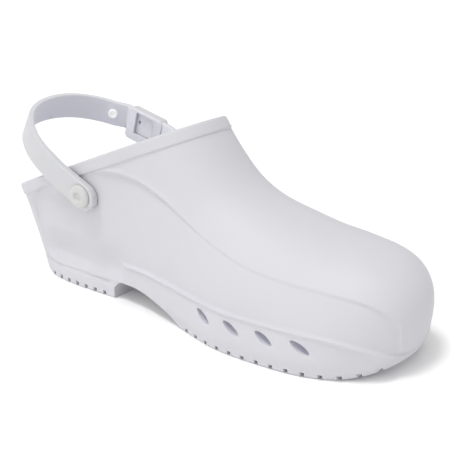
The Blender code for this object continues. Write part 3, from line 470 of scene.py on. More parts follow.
def levelHeights(rib):
    # heights of the mesh rows from the sole's edge to the panel line, closer at the edge and the lines
    edge, bead, panel = rib["edge"], rib["bead"], rib["panel"]
    rows = [edge]
    leastStep = 0.02 * mm

    def add(heights):
        for height in heights:
            rows.append(np.maximum(height, rows[-1] + leastStep))

    add(edge + part * mm for part in (0.08, 0.3, 0.65, 1.1))
    add(edge + part * (bead - edge) for part in np.linspace(0.09, 0.84, 17))
    add(bead + part * mm for part in
        (-3.0, -2.4, -1.9, -1.4, -1.0, -0.7, -0.45, -0.2, 0.05, 0.3, 0.6, 1.0, 1.5, 2.1, 2.8))
    low, top = rows[-1], panel - 3.2 * mm
    add(low + part * (top - low) for part in np.linspace(0, 1, 17)[1:])
    add(panel + part * mm for part in
        (-2.6, -2.0, -1.5, -1.1, -0.7, -0.35, 0.0, 0.35, 0.7, 1.1, 1.5, 2.0, 2.7, 3.6, 4.8))
    return rows


def seamed(ring, ridgeX):
    # both sides meet exactly along the ridge, and the toe's ribs all end in one point
    count = len(ring)
    pointReach = 1.5 * mm
    ring = (ring + ring[(count - np.arange(count)) % count]) / 2
    last = ridgeX > ridgeX.max() - pointReach
    ring[last] = ring[last].mean(axis=0)
    return ring


def outerSkin(turns):
    rib = ribsAt(turns)
    rows = levelHeights(rib)
    top = ridgeHeight(rib["ridgeX"]) - 0.5 * mm
    shares = [shareAtHeight(rib, np.minimum(height, top)) for height in rows]
    shares[0] = np.zeros_like(turns)
    start = np.arccos(1 - np.clip(shares[-1], 0, 1))
    for part in np.linspace(0, 1, body["topRows"])[1:]:
        shares.append(1 - np.cos(start + part * (math.pi / 2 - start)))
    shares[-1] = np.ones_like(turns)
    points = [surfacePoint(turns, share)[0] for share in shares]
    points[-1] = seamed(points[-1], rib["ridgeX"])
    return points


def wallAt(height):
    top, reach = body["soleWallTop"], body["wallChange"] / 2
    return body["soleWall"] + (body["upperWall"] - body["soleWall"]) * ease(top - reach, top + reach, height)


def innerSkin(turns):
    rib = ribsAt(turns)
    corner = body["bedCorner"]
    height = bedHeight(rib["x"]) + corner
    share = shareAtHeight(rib, height)
    plain, normal = ribPoint(rib, share), outward(turns, share)
    rings = []
    for angle in (0, 22, 45, 68, 90):
        inset = corner * (1 - math.sin(angle * deg))
        point = plain - normal * (wallAt(plain[..., 2]) + inset)[..., None]
        lift = corner * (1 - math.cos(angle * deg))
        point[..., 2] = bedHeight(point[..., 0]) + lift
        rings.append(point)
    start = np.arccos(1 - share)
    for part in np.linspace(0, 1, body["liningRows"])[1:]:
        step = 1 - np.cos(start + part * (math.pi / 2 - start)) if part < 1 else np.ones_like(turns)
        plain = ribPoint(rib, step)
        rings.append(plain - outward(turns, step) * wallAt(plain[..., 2])[..., None])
    rings[-1] = seamed(rings[-1], rib["ridgeX"])
    return rings


def cutByRim(mesh):
    point = Vector(centred(rimPoint - rimNormal * rim["joint"]))
    bmesh.ops.bisect_plane(mesh, geom=mesh.verts[:] + mesh.edges[:] + mesh.faces[:], plane_co=point,
                           plane_no=Vector(rimNormal), clear_outer=True, dist=0.01 * mm)


def columnTurns():
    # even columns, with finer ones at the toe's two corners, the same on both sides
    step = 1 / body["stations"]
    corner, cornerEnd = 19, 20.25
    half = np.concatenate((np.arange(0, corner, step), np.arange(corner, cornerEnd, step / 3),
                           np.arange(cornerEnd, lastRow, step)))
    return np.concatenate((half, (lastRow,), turnCount - half[:0:-1]))


def cutSkin(name, rings):
    # rings of points closed along the ridge and open at the collar
    count = len(rings[0])
    skin = meshFrom(name, centred(np.concatenate(rings)), gridFaces(len(rings), count) + capFaces(0, count))
    reshape(skin, cutByRim)
    return skin


def buildShell(finish):
    turns = columnTurns()
    skin = cutSkin("outerSkin", outerSkin(turns))
    lining = cutSkin("innerSkin", innerSkin(turns[::2]))
    corners = [vertex.co for vertex in skin.vertices]
    tree = BVHTree.FromPolygons(corners, [face.vertices for face in skin.polygons])
    mesh = bmesh.new()
    mesh.from_mesh(lining)
    bmesh.ops.reverse_faces(mesh, faces=mesh.faces)
    mesh.from_mesh(skin)
    bmesh.ops.bridge_loops(mesh, edges=[edge for edge in mesh.edges if len(edge.link_faces) == 1])
    bmesh.ops.recalc_face_normals(mesh, faces=mesh.faces)
    print("open edges", sum(1 for edge in mesh.edges if len(edge.link_faces) != 2))
    mesh.to_mesh(skin)
    mesh.free()
    bpy.data.meshes.remove(lining)
    return addPiece("clogShell", skin, finish, smooth=40), tree


# Rounded band round the collar

rim = {
    "joint": 3.2 * mm,           # the shell ends here, inside the band
    "depth": 7.0 * mm, "step": 0.8 * mm, "round": 1.3 * mm, "behind": 0.25 * mm, "points": 400,
}


def rimRing(depth):
    # closed curve where the finished surface lies at one depth below the rim's plane
    def under(points):
        return (rimPoint - points) @ rimNormal > depth

    sides = []
    for way in (lambda turn: turn, lambda turn: turnCount - turn):
        low, _ = bisected(lambda turn: not under(ribPoint(ribsAt(way(turn)), np.ones(1)))[0],
                          0.0, float(lastRow))
        turn = way(low * (1 - (1 - np.linspace(0, 1, 700)) ** 3))
        rib = ribsAt(turn)
        share = shareWhere(rib, under, turn.shape)
        share[-1] = 1.0
        sides.append(surfacePoint(turn, share)[0])
    points = np.concatenate((sides[0], sides[1][::-1][1:-1]))
    points = points - ((points - rimPoint) @ rimNormal + depth)[:, None] * rimNormal
    closed = np.vstack((points, points[:1]))
    run = np.concatenate(((0,), np.cumsum(np.linalg.norm(np.diff(closed, axis=0), axis=1))))
    wanted = np.linspace(0, run[-1], rim["points"], endpoint=False)
    ring = np.stack([np.interp(wanted, run, closed[:, axis]) for axis in range(3)], axis=-1)
    for _ in range(3):
        ring = (np.roll(ring, 1, axis=0) + 2 * ring + np.roll(ring, -1, axis=0)) / 4
    along = unit(np.roll(ring, -1, axis=0) - np.roll(ring, 1, axis=0))
    out = unit(np.cross(along, rimNormal))
    middle = ring.mean(axis=0)
    if np.sum((ring - middle) * out) < 0:
        out = -out
    return ring, out


def rimProfile():
    # depth below the rim, distance out from the wall, from the band's foot over the top to the inside
    foot, step, soft, back = rim["depth"], rim["step"], rim["round"], -body["upperWall"] - rim["behind"]
    profile = [(foot + 1.1 * mm, -1.2 * mm), (foot + 0.75 * mm, -0.1 * mm), (foot + 0.45 * mm, 0.45 * step),
               (foot + 0.1 * mm, 0.88 * step), (foot - 0.5 * mm, step)]
    profile += [(depth * mm, step) for depth in (5.2, 3.8, 2.4)]
    for angle in range(0, 91, 15):
        turn = angle * deg
        profile.append((soft * (1 - math.sin(turn)), step - soft * (1 - math.cos(turn))))
    for angle in range(0, 91, 15):
        turn = angle * deg
        profile.append((soft * (1 - math.cos(turn)), back + soft * (1 - math.sin(turn))))
    profile += [(2.6 * mm, back), (4.4 * mm, back + 0.05 * mm), (5.4 * mm, back + 0.55 * mm),
                (5.6 * mm, back + 1.45 * mm)]
    return profile


def buildBand(finish):
    rings = []
    known = {}
    for depth, out in rimProfile():
        key = round(depth, 7)
        if key not in known:
            known[key] = rimRing(depth)
        ring, side = known[key]
        rings.append(ring + side * out)
    faces = gridFaces(len(rings), rim["points"], closed=True)
    return addPiece("collarBand", meshFrom("collarBand", centred(np.concatenate(rings)), faces), finish, 60)


# Node trees, for what repeats and for the finishes

socketKinds = {float: "NodeSocketFloat", int: "NodeSocketInt", tuple: "NodeSocketColor",
               type(None): "NodeSocketMaterial"}


class TreeMaker:
    # keeps a node tree short to write: a text stands for the tree's own input of that name
    def __init__(self, tree):
        self.tree = tree

    def withSockets(self, inputs, outputs):
        self.values = inputs
        self.identifiers = {}
        for title, value in inputs.items():
            kind = socketKinds[type(value)]
            socket = self.tree.interface.new_socket(title, in_out="INPUT", socket_type=kind)
            self.identifiers[title] = socket.identifier
            if value is not None:
                socket.default_value = value
        for title, kind in outputs.items():
            self.tree.interface.new_socket(title, in_out="OUTPUT", socket_type=kind)
        self.source = self.tree.nodes.new("NodeGroupInput")
        self.sink = self.tree.nodes.new("NodeGroupOutput")
        return self

    def node(self, kind, settings=None, **links):
        made = self.tree.nodes.new(kind)
        for key, value in (settings or {}).items():
            setattr(made, key, value)
        for key, value in links.items():
            name = key.replace("_", " ")
            numbered = name[0] == "n" and name[1:].isdigit()
            self.feed(made.inputs[int(name[1:]) if numbered else name], value)
        return made

    def feed(self, socket, value):
        if isinstance(value, bpy.types.NodeSocket):
            self.tree.links.new(value, socket)
        elif isinstance(value, str):
            self.tree.links.new(self.source.outputs[value], socket)
        else:
            socket.default_value = value

    def math(self, operation, *values):
        links = {f"n{number}": value for number, value in enumerate(values)}
        return self.node("ShaderNodeMath", {"operation": operation}, **links).outputs[0]

    def vector(self, x=0.0, y=0.0, z=0.0):
        return self.node("ShaderNodeCombineXYZ", None, X=x, Y=y, Z=z).outputs[0]

    def places(self):
        position = self.node("GeometryNodeInputPosition")
        return self.node("ShaderNodeSeparateXYZ", None, Vector=position.outputs[0]).outputs

    def finish(self, geometry):
        real = self.node("GeometryNodeRealizeInstances", None, Geometry=geometry)
        dressed = self.node("GeometryNodeSetMaterial", None, Geometry=real.outputs[0], Material="Material")
        self.tree.links.new(dressed.outputs[0], self.sink.inputs[0])

    def run(self, name):
        holder = addPiece(name, bpy.data.meshes.new(name))
        modifier = holder.modifiers.new(name, "NODES")
        modifier.node_group = self.tree
        for title, value in self.values.items():
            modifier[self.identifiers[title]] = value
        return plainMesh(holder)


def groupMaker(name, kind, inputs, outputs):
    return TreeMaker(bpy.data.node_groups.new(name, kind)).withSockets(inputs, outputs)


def cutterMaker(name, inputs):
    inputs = {**inputs, "Material": None}
    return groupMaker(name, "GeometryNodeTree", inputs, {"Geometry": "NodeSocketGeometry"})


heelNotches = {"Count": 7, "First": 0.166 * length, "Pitch": 7.6 * mm, "Bunch": 0.0, "Width": 2.5 * mm,
               "Height": 3.0 * mm, "Strip": 16 * mm, "Reach": 130 * mm}
foreNotches = {"Count": 14, "First": 0.583 * length, "Pitch": 8.4 * mm, "Bunch": 4.4 * mm,
               "Width": 2.2 * mm, "Height": 2.7 * mm, "Strip": 16 * mm, "Reach": 130 * mm}


def notchRow(name, sizes):
    # a row of slots across the tread, open to both sides of a plain strip; from the toe spring on
    # the slots rise with it and stand a little closer
    maker = cutterMaker(name, {**sizes, "Half Length": length / 2, "Spring": body["toeSpring"],
                               "Spring Start": body["springStart"] * length})
    below = 4 * mm
    tall = maker.math("ADD", "Height", below)
    wide = maker.math("DIVIDE", maker.math("SUBTRACT", "Reach", "Strip"), 2.0)
    bar = maker.node("GeometryNodeMeshCube", None, Size=maker.vector("Width", wide, tall))
    reach = maker.math("ADD", maker.math("DIVIDE", "Strip", 2.0), maker.math("DIVIDE", wide, 2.0))
    lift = maker.math("SUBTRACT", maker.math("DIVIDE", tall, 2.0), below)
    bars = maker.node("GeometryNodeJoinGeometry")
    for side in (1.0, -1.0):
        moved = maker.node("GeometryNodeTransform", None, Geometry=bar.outputs["Mesh"],
                           Translation=maker.vector(0.0, maker.math("MULTIPLY", reach, side), lift))
        maker.tree.links.new(moved.outputs[0], bars.inputs[0])
    line = maker.node("GeometryNodeMeshLine", None, Count="Count", Offset=maker.vector("Pitch"),
                      Start_Location=maker.vector(maker.math("SUBTRACT", "First", "Half Length")))
    along = maker.math("ADD", maker.places()[0], "Half Length")
    past = maker.math("MAXIMUM", maker.math("SUBTRACT", along, "Spring Start"), 0.0)
    span = maker.math("SUBTRACT", maker.math("MULTIPLY", "Half Length", 2.0), "Spring Start")
    share = maker.math("POWER", maker.math("DIVIDE", past, span), 2.0)
    back = maker.math("MULTIPLY", maker.math("MULTIPLY", share, "Bunch"), -1.0)
    closer = maker.node("GeometryNodeSetPosition", None, Geometry=line.outputs[0], Offset=maker.vector(back))
    rise = maker.vector(0.0, 0.0, maker.math("MULTIPLY", share, "Spring"))
    raised = maker.node("GeometryNodeSetPosition", None, Geometry=closer.outputs[0], Offset=rise)
    copies = maker.node("GeometryNodeInstanceOnPoints", None, Points=raised.outputs[0],
                        Instance=bars.outputs[0])
    maker.finish(copies.outputs[0])
    return maker.run(name)


def ventSet(name, side):
    # leaf-shaped vents through one side of the sole
    maker = cutterMaker(name, {
        "Count": ventRow["count"], "First": ventRow["first"] * length - length / 2,
        "Pitch": ventRow["pitch"] * length, "Leaf Length": ventRow["length"], "Leaf Width": ventRow["width"],
        "Tilt": ventRow["tilt"], "Height": ventRow["height"], "Middle": side * ventRow["middle"],
        "Depth": ventRow["depth"], "Corners": ventRow["corners"], "Roundness": ventRow["roundness"]})
    ring = maker.node("GeometryNodeMeshCircle", {"fill_type": "NGON"}, Vertices="Corners", Radius=1.0)
    x, y, _ = maker.places()
    up = maker.math("MULTIPLY", y, maker.math("POWER", maker.math("ABSOLUTE", y), "Roundness"))
    a = maker.math("MULTIPLY", x, maker.math("DIVIDE", "Leaf Length", 2.0))
    b = maker.math("MULTIPLY", up, maker.math("DIVIDE", "Leaf Width", 2.0))
    leaf = maker.node("GeometryNodeSetPosition", None, Geometry=ring.outputs[0],
                      Position=maker.vector(a, 0.0, b))
    solid = maker.node("GeometryNodeExtrudeMesh", {"mode": "FACES"}, Mesh=leaf.outputs[0],
                       Offset=maker.vector(0.0, 1.0, 0.0), Offset_Scale="Depth", Individual=False)
    both = maker.node("GeometryNodeJoinGeometry")
    flipped = maker.node("GeometryNodeFlipFaces", None, Mesh=leaf.outputs[0])
    for part in (solid, flipped):
        maker.tree.links.new(part.outputs[0], both.inputs[0])
    welded = maker.node("GeometryNodeMergeByDistance", None, Geometry=both.outputs[0], Distance=0.001 * mm)
    across = maker.math("SUBTRACT", "Middle", maker.math("DIVIDE", "Depth", 2.0))
    line = maker.node("GeometryNodeMeshLine", None, Count="Count", Offset=maker.vector("Pitch"),
                      Start_Location=maker.vector("First", across, "Height"))
    turn = maker.vector(0.0, maker.math("MULTIPLY", "Tilt", -1.0), 0.0)
    copies = maker.node("GeometryNodeInstanceOnPoints", None, Points=line.outputs[0],
                        Instance=welded.outputs[0], Rotation=turn)
    maker.finish(copies.outputs[0])
    made = maker.run(name)
    reshape(made.data, lambda mesh: bmesh.ops.recalc_face_normals(mesh, faces=mesh.faces))
    return made


arch = {"start": 0.357, "end": 0.564, "height": 12 * mm, "below": 5 * mm, "reach": 70 * mm, "points": 70}
archCurve = np.array((
    # share of the way, share of the height
    (0.00, 0.47), (0.012, 0.64), (0.045, 0.79), (0.12, 0.97), (0.27, 1.00), (0.40, 0.95),
    (0.53, 0.85), (0.66, 0.70), (0.77, 0.54), (0.88, 0.32), (1.00, 0.00),
))


def archCutter():
    # prism with the outline of the waist's underside
    run = np.concatenate(((0,), np.cumsum(np.hypot(*np.diff(archCurve, axis=0).T))))
    alongCurve, upCurve = tableCurve(run, archCurve[:, 0]), tableCurve(run, archCurve[:, 1])
    fine = np.linspace(0, run[-1], arch["points"])
    x = (arch["start"] + np.clip(alongCurve(fine), 0, 1) * (arch["end"] - arch["start"])) * length
    z = np.maximum(upCurve(fine), 0) * arch["height"]
    x = np.concatenate((x, (arch["end"] * length, arch["start"] * length)))
    z = np.concatenate((z, (-arch["below"], -arch["below"])))
    points = []
    for side in (-1, 1):
        points.append(centred(np.stack((x, np.full(len(x), side * arch["reach"]), z), axis=-1)))
    return addPiece("archCutter", meshFrom("archCutter", np.concatenate(points), barFaces(2, len(x))))


# Heel strap, sleeve, pins and stud

strap = {
    "width": 16 * mm, "thick": 3.2 * mm, "padThick": 4.4 * mm, "padAhead": 1.6 * mm, "edge": 1.0 * mm,
    "offWall": 0.5 * mm, "bandStep": 0.8 * mm, "top": 98 * mm, "backX": 0.071,
    "pinX": 0.292, "pinDrop": 19.9 * mm, "innerPinX": 0.368, "innerPinDrop": 17.8 * mm,
    "tilt": 33 * deg, "sleeveTilt": 9 * deg, "tiltTurns": (0.30, 0.80), "padThins": (0.12, 0.36),
    "tip": 0.4 * mm, "steps": 10,
}
# points of the strap's way: share of the way back from the outer pin, share of that pin's distance
# to the side, share of the way up to the strap's top
strapRoute = (
    (0.282, -1.044, 0.253), (0.400, -1.050, 0.379), (0.523, -1.044, 0.505), (0.646, -1.002, 0.632),
    (0.761, -0.917, 0.758), (0.857, -0.795, 0.858), (0.930, -0.615, 0.937), (0.979, -0.387, 0.984),
    (0.998, -0.121, 1.000), (0.989, 0.149, 0.989), (0.952, 0.398, 0.953), (0.890, 0.625, 0.895),
    (0.808, 0.811, 0.826), (0.726, 0.928, 0.768),
)
shortRoute = ((0.048, 1.030, 0.490), (-0.084, 0.984, 0.430), (-0.215, 0.940, 0.358))
sleeve = {
    "spot": (0.390, 1.069, 0.613), "way": (0.963, 0.057, -0.264), "length": 24.5 * mm, "wall": 3.4 * mm,
    "over": 0.8 * mm, "under": 4.0 * mm, "tail": 3.5 * mm, "face": 1.9 * mm, "outerFace": 1.1 * mm,
    "corner": 2.8 * mm, "edge": 0.7 * mm, "slack": 1.5 * mm, "gap": 0.3 * mm, "channelCorner": 0.8 * mm,
    "window": 14.5 * mm, "windowCorner": 0.9 * mm, "ahead": 1.8 * mm, "lip": 0.75 * mm,
    "hole": 2.2 * mm, "holeBehind": 3.4 * mm, "holeRise": 0.9 * mm,
}
pin = {
    "head": 14 * mm, "thick": 2.4 * mm, "dimple": 5.6 * mm, "dimpleDepth": 1.3 * mm, "shank": 5 * mm,
    "tail": 10 * mm, "tailThick": 1.6 * mm, "gap": 0.3 * mm, "sides": 64,
}
stud = {"head": 6.2 * mm, "shank": 3.2 * mm, "thick": 1.0 * mm, "behind": 23.7 * mm, "sides": 40}
axle = 0.02 * mm                 # turned pieces close at this radius


def wallBeside(x, z, side):
    # how far out the wall stands at one place along the shoe and one height
    def pointAt(turn):
        rib = ribsAt(np.array([turn if side < 0 else turnCount - turn]))
        return ribPoint(rib, shareAtHeight(rib, np.array([z])))[0]

    low, _ = bisected(lambda turn: pointAt(turn)[0] < x, 0.0, float(lastRow))
    return pointAt(low)[1]


def pinMiddle(share, drop, side, thick):
    x = share * length
    z = body["rimHeight"] + collarSlope * x - drop
    y = wallBeside(x, z, side) + side * (strap["bandStep"] + strap["offWall"] + thick / 2)
    return Vector((x - length / 2, y, z))


outerPoint = pinMiddle(strap["pinX"], strap["pinDrop"], -1, strap["padThick"])
innerPoint = pinMiddle(strap["innerPinX"], strap["innerPinDrop"], 1, strap["thick"])


def routePoint(back, side, rise):
    backEnd = strap["backX"] * length - length / 2
    return Vector((outerPoint.x - back * (outerPoint.x - backEnd), side * abs(outerPoint.y),
                   outerPoint.z + rise * (strap["top"] - outerPoint.z)))


def smoothRoute(points):
    # Catmull-Rom curve through the points
    points = [2 * points[0] - points[1]] + points + [2 * points[-1] - points[-2]]
    made = []
    for i in range(1, len(points) - 2):
        a, b, c, d = points[i - 1:i + 3]
        for step in range(strap["steps"]):
            t = step / strap["steps"]
            made.append(b + 0.5 * t * (c - a + t * (2 * a - 5 * b + 4 * c - d + t * (3 * (b - c) + d - a))))
    made.append(points[-2].copy())
    return made


def longTilt(share):
    # upward edge of the strap: it leans less towards the sleeve
    turned = float(ease(*strap["tiltTurns"], share))
    lean = strap["tilt"] + (strap["sleeveTilt"] - strap["tilt"]) * turned
    return Vector((math.sin(lean), 0, math.cos(lean)))


def shortTilt(share):
    return longTilt(1.0)


def roundEnd(centre, way):
    # points from a pin to the tip of the round end beyond it, closer towards the tip
    radius = strap["width"] / 2
    return [centre - way * radius * math.cos(angle * deg) for angle in (0, 8, 16, 25, 34, 44, 54, 65, 77)]


def bandSections(points, tilts, roundStart, roundFinish):
    # middle, up, outward, half width and thickness at each point of a strip
    run = [0.0]
    for a, b in zip(points[:-1], points[1:]):
        run.append(run[-1] + (b - a).length)
    half = strap["width"] / 2
    made = []
    for place, point in enumerate(points):
        share = run[place] / run[-1]
        way = (points[min(place + 1, len(points) - 1)] - points[max(place - 1, 0)]).normalized()
        up = tilts(share)
        up = (up - way * up.dot(way)).normalized()
        out = way.cross(up).normalized()
        width = half
        for on, far in ((roundStart, run[place]), (roundFinish, run[-1] - run[place])):
            if on and far < half:
                width = math.sqrt(max(half ** 2 - (half - far) ** 2, strap["tip"] ** 2))
        thick = strap["thick"]
        if roundStart:
            thick += (strap["padThick"] - strap["thick"]) * (1 - float(ease(*strap["padThins"], share)))
        made.append((point, up, out, width, thick))
    return made


def bandMesh(name, made):
    # flat band with rounded edges
    rings = []
    for point, up, out, width, thick in made:
        soft = min(strap["edge"], thick / 2 - 0.05 * mm)
        wide = min(soft, width * 0.45)
        ring = []
        for number, (u, o) in enumerate(((1, 1), (1, -1), (-1, -1), (-1, 1))):
            arc = []
            for angle in (0, 30, 60, 90):
                turn = angle * deg
                arc.append((u * (width - wide + wide * math.cos(turn)),
                            o * (thick / 2 - soft + soft * math.sin(turn))))
            ring += arc if number % 2 else reversed(arc)
            if number % 2:
                ring += [(u * (1 - 2 * share) * (width - wide), o * thick / 2) for share in (0.25, 0.5, 0.75)]
        rings.append([point + up * a + out * b for a, b in ring])
    points = [tuple(p) for ring in rings for p in ring]
    return meshFrom(name, points, barFaces(len(rings), len(rings[0])), merge=0.005 * mm)


def strapLines():
    # middle lines of both strips, from pin to sleeve and from sleeve to pin
    middle = routePoint(*sleeve["spot"])
    way = Vector(sleeve["way"]).normalized()
    half = sleeve["length"] / 2
    end = middle + way * (half - sleeve["wall"] - sleeve["slack"])
    entry = [middle - way * (half + 2 * sleeve["slack"]), middle - way * half]
    longLine = smoothRoute([outerPoint] + [routePoint(*p) for p in strapRoute] + entry + [middle, end])
    startWay = (longLine[1] - longLine[0]).normalized()
    pad = outerPoint - startWay * strap["padAhead"]
    longLine = roundEnd(pad, startWay) + [pad + startWay * 0.2 * mm] + longLine
    start = middle + way * (half - sleeve["wall"] / 2)
    shortLine = smoothRoute([start] + [routePoint(*p) for p in shortRoute] + [innerPoint])
    endWay = (shortLine[-2] - shortLine[-1]).normalized()
    shortLine = shortLine + roundEnd(innerPoint, endWay)[::-1]
    return longLine, shortLine, middle, way


def seatOn(line, tilts, point, side):
    # nearest point of a strip's middle line, and the way that faces out there
    made = bandSections(line, tilts, False, False)
    nearest = min(made, key=lambda item: (item[0] - point).length)
    out = nearest[2]
    return nearest[0], (out if out.y * side > 0 else -out)


def turnedMesh(name, profile, seat, segments):
    # round piece from a profile of (radius, height along the seat's direction)
    centre, out = seat
    turn = Vector((0, 0, 1)).rotation_difference(out).to_matrix()
    points = []
    for radius, height in profile:
        for place in range(segments):
            angle = 2 * math.pi * place / segments
            local = Vector((radius * math.cos(angle), radius * math.sin(angle), height))
            points.append(tuple(centre + turn @ local))
    return meshFrom(name, points, barFaces(len(profile), segments), merge=0.003 * mm)


def smoothProfile(points):
    # rounds the corners of a profile by cutting them twice
    near, far = 0.78, 0.22
    for _ in range(2):
        made = [points[0]]
        for a, b in zip(points[:-1], points[1:]):
            made.append((a[0] * near + b[0] * far, a[1] * near + b[1] * far))
            made.append((a[0] * far + b[0] * near, a[1] * far + b[1] * near))
        made.append(points[-1])
        points = made
    return points


def holeCutter(name, seat, radius):
    reach = 12 * mm
    return addPiece(name, turnedMesh(name, [(radius, -reach), (radius, reach)], seat, 40))


def pinHole(name, seat, piece=pin):
    return holeCutter(name, seat, piece["shank"] / 2 + pin["gap"])


def blockPiece(name, frameWay, centre, along, across, up, corner):
    # block with rounded corners seen from its broad side
    steps = 5
    outline = []
    for number, (a, u) in enumerate(((1, 1), (-1, 1), (-1, -1), (1, -1))):
        for place in range(steps + 1):
            turn = math.pi / 2 * (number + place / steps)
            outline.append((a * (along / 2 - corner) + corner * math.cos(turn),
                            u * (up / 2 - corner) + corner * math.sin(turn)))
    points = []
    for side in (-1, 1):
        points += [tuple(frameWay @ Vector((x, side * across / 2, z)) + centre) for x, z in outline]
    return addPiece(name, meshFrom(name, points, barFaces(2, len(outline)), merge=0.005 * mm))


def bevelled(piece, width, segments, angle):
    edge = piece.modifiers.new("edge", "BEVEL")
    edge.width = width
    edge.segments = segments
    edge.limit_method = "ANGLE"
    edge.angle_limit = angle * deg
    edge.harden_normals = False
    return plainMesh(piece)


def buildStrap(finish, longLine, pinSeat, studSeat, holeSeat):
    made = bandMesh("heelStrap", bandSections(longLine, longTilt, True, False))
    piece = addPiece("heelStrap", made, finish, 50)
    cutWith(piece, pinHole("pinHole", pinSeat), pinHole("studHole", studSeat, stud),
            holeCutter("spareHole", holeSeat, sleeve["hole"] / 2))
    piece.data.set_sharp_from_angle(angle=50 * deg)
    return piece


def sleeveFrame(way):
    # along the sleeve, square to the strap, and up
    up = shortTilt(0)
    up = (up - way * up.dot(way)).normalized()
    return way, way.cross(up).normalized(), up


def buildSleeve(finish, shortLine, middle, way, pinSeat, holeSeat):
    made = bandMesh("strapSleeve", bandSections(shortLine, shortTilt, False, True))
    piece = addPiece("strapSleeve", made, finish, 50)
    way, out, up = sleeveFrame(way)
    turn = Matrix((way, out, up)).transposed()
    inward = out if out.y < 0 else -out
    channel = strap["thick"] + 2 * sleeve["gap"]
    opening = strap["width"] + 2 * sleeve["gap"]
    centre = middle + up * (sleeve["over"] - sleeve["under"]) / 2 + way * sleeve["tail"] / 2
    centre += inward * (sleeve["face"] - sleeve["outerFace"]) / 2
    block = blockPiece("sleeveBlock", turn, centre, sleeve["length"] + sleeve["tail"],
                       channel + sleeve["face"] + sleeve["outerFace"],
                       opening + sleeve["over"] + sleeve["under"], sleeve["corner"])
    cutWith(piece, bevelled(block, sleeve["edge"], 3, 50), operation="UNION")
    centre = middle - way * (sleeve["wall"] + sleeve["slack"]) / 2
    channelCut = blockPiece("channel", turn, centre, sleeve["length"] - sleeve["wall"] + sleeve["slack"],
                            channel, opening, sleeve["channelCorner"])
    centre = middle + way * sleeve["ahead"] + inward * (channel / 2 + sleeve["face"])
    windowCut = blockPiece("window", turn, centre, sleeve["window"], 3 * sleeve["face"],
                           strap["width"] - 2 * sleeve["lip"], sleeve["windowCorner"])
    cutWith(piece, channelCut, windowCut, pinHole("sleeveHole", pinSeat),
            holeCutter("spareHole", holeSeat, sleeve["hole"] / 2))
    piece.data.shade_smooth()
    piece.data.set_sharp_from_angle(angle=40 * deg)
    piece.data.materials.clear()
    piece.data.materials.append(finish)
    return piece


def buildPin(name, seat, thick, finish):
    under = thick / 2 + pin["gap"]
    top = under + pin["thick"]
    inside = -(thick / 2 + strap["offWall"] + strap["bandStep"] + body["upperWall"] + 3 * pin["gap"])
    head, dimple, shank, tail = pin["head"] / 2, pin["dimple"] / 2, pin["shank"] / 2, pin["tail"] / 2
    floor = top - pin["dimpleDepth"]
    end = inside - pin["tailThick"]
    profile = smoothProfile([(axle, floor), (dimple * 0.72, floor), (dimple, top - 0.25 * mm),
                             (dimple + 0.5 * mm, top), (head * 0.72, top - 0.12 * mm),
                             (head * 0.92, top - 0.75 * mm), (head, top - 1.6 * mm),
                             (head, under + 0.1 * mm)])
    profile += [(head - 0.1 * mm, under), (shank, under), (shank, inside)]
    profile += smoothProfile([(tail, inside), (tail, (inside + end) / 2), (tail * 0.84, end), (axle, end)])
    return addPiece(name, turnedMesh(name, profile, seat, pin["sides"]), finish, 40)


def buildStud(finish, seat):
    face = strap["thick"] / 2 + pin["gap"]
    head, shank, thick = stud["head"] / 2, stud["shank"] / 2, stud["thick"]
    ring = [(axle, face + thick * 0.35), (head * 0.38, face + thick * 0.35), (head * 0.52, face + thick),
            (head * 0.85, face + thick), (head, face + thick * 0.5), (head, face)]
    back = [(head, -face), (head, -face - thick * 0.5), (head * 0.85, -face - thick), (axle, -face - thick)]
    profile = smoothProfile(ring) + [(shank, face), (shank, -face)] + smoothProfile(back)
    return addPiece("strapStud", turnedMesh("strapStud", profile, seat, stud["sides"]), finish, 40)


insole = {"thick": 3.6 * mm, "gap": 0.5 * mm, "seat": 0.3 * mm, "soft": 1.2 * mm, "dip": 0.15 * mm,
          "columns": 6}


def buildInsole(finish):
    turns = np.arange(turnCount * insole["columns"]) / insole["columns"]
    rib = ribsAt(turns)
    share = shareAtHeight(rib, bedHeight(rib["x"]) + body["bedCorner"])
    plain, normal = ribPoint(rib, share), outward(turns, share)
    wall = wallAt(plain[..., 2]) + body["bedCorner"] + insole["gap"]
    soft, thick = insole["soft"], insole["thick"]
    # height in the insole, distance in from its edge
    profile = [(0.0, soft / 2), (soft / 4, soft / 6), (soft / 2, 0.0), (thick - soft, 0.0)]
    for angle in (25, 50, 70, 90):
        turn = angle * deg
        profile.append((thick - soft * (1 - math.sin(turn)), soft * (1 - math.cos(turn))))
    profile += [(thick - insole["dip"] * (inset / 10), soft + inset * mm) for inset in (3.0, 6.0, 10.0)]
    rings = []
    for lift, inset in profile:
        point = plain - normal * (wall + inset)[..., None]
        point[..., 2] = bedHeight(point[..., 0]) + insole["seat"] + lift
        rings.append(point)
    count = len(turns)
    faces = gridFaces(len(rings), count) + capFaces(0, count) + capFaces((len(rings) - 1) * count, count)
    return addPiece("footInsole", meshFrom("footInsole", centred(np.concatenate(rings)), faces), finish, 40)


# How far each point lies inside, for the painted light of the finishes: a lighter, bluer colour and a glow

depths = {"skin": 0.8 * mm, "inside": 3.4 * mm}    # depth under the outer skin: still skin, fully inside
facing = (0.1, 0.8)                                # how far a face turns to the foot: not yet, fully


def markInside(piece, amounts):
    values = piece.data.attributes.new("inside", "FLOAT", "POINT")
    values.data.foreach_set("value", np.asarray(amounts, np.float32))


def insideShell(piece, skin):
    # 1 on the lining and deep in the vents, 0 on the outer skin; the body's finish paints a lighter colour
    # and a glow there as painted light
    near = [skin.find_nearest(vertex.co)[3] for vertex in piece.data.vertices]
    return ease(depths["skin"], depths["inside"], np.array(near))


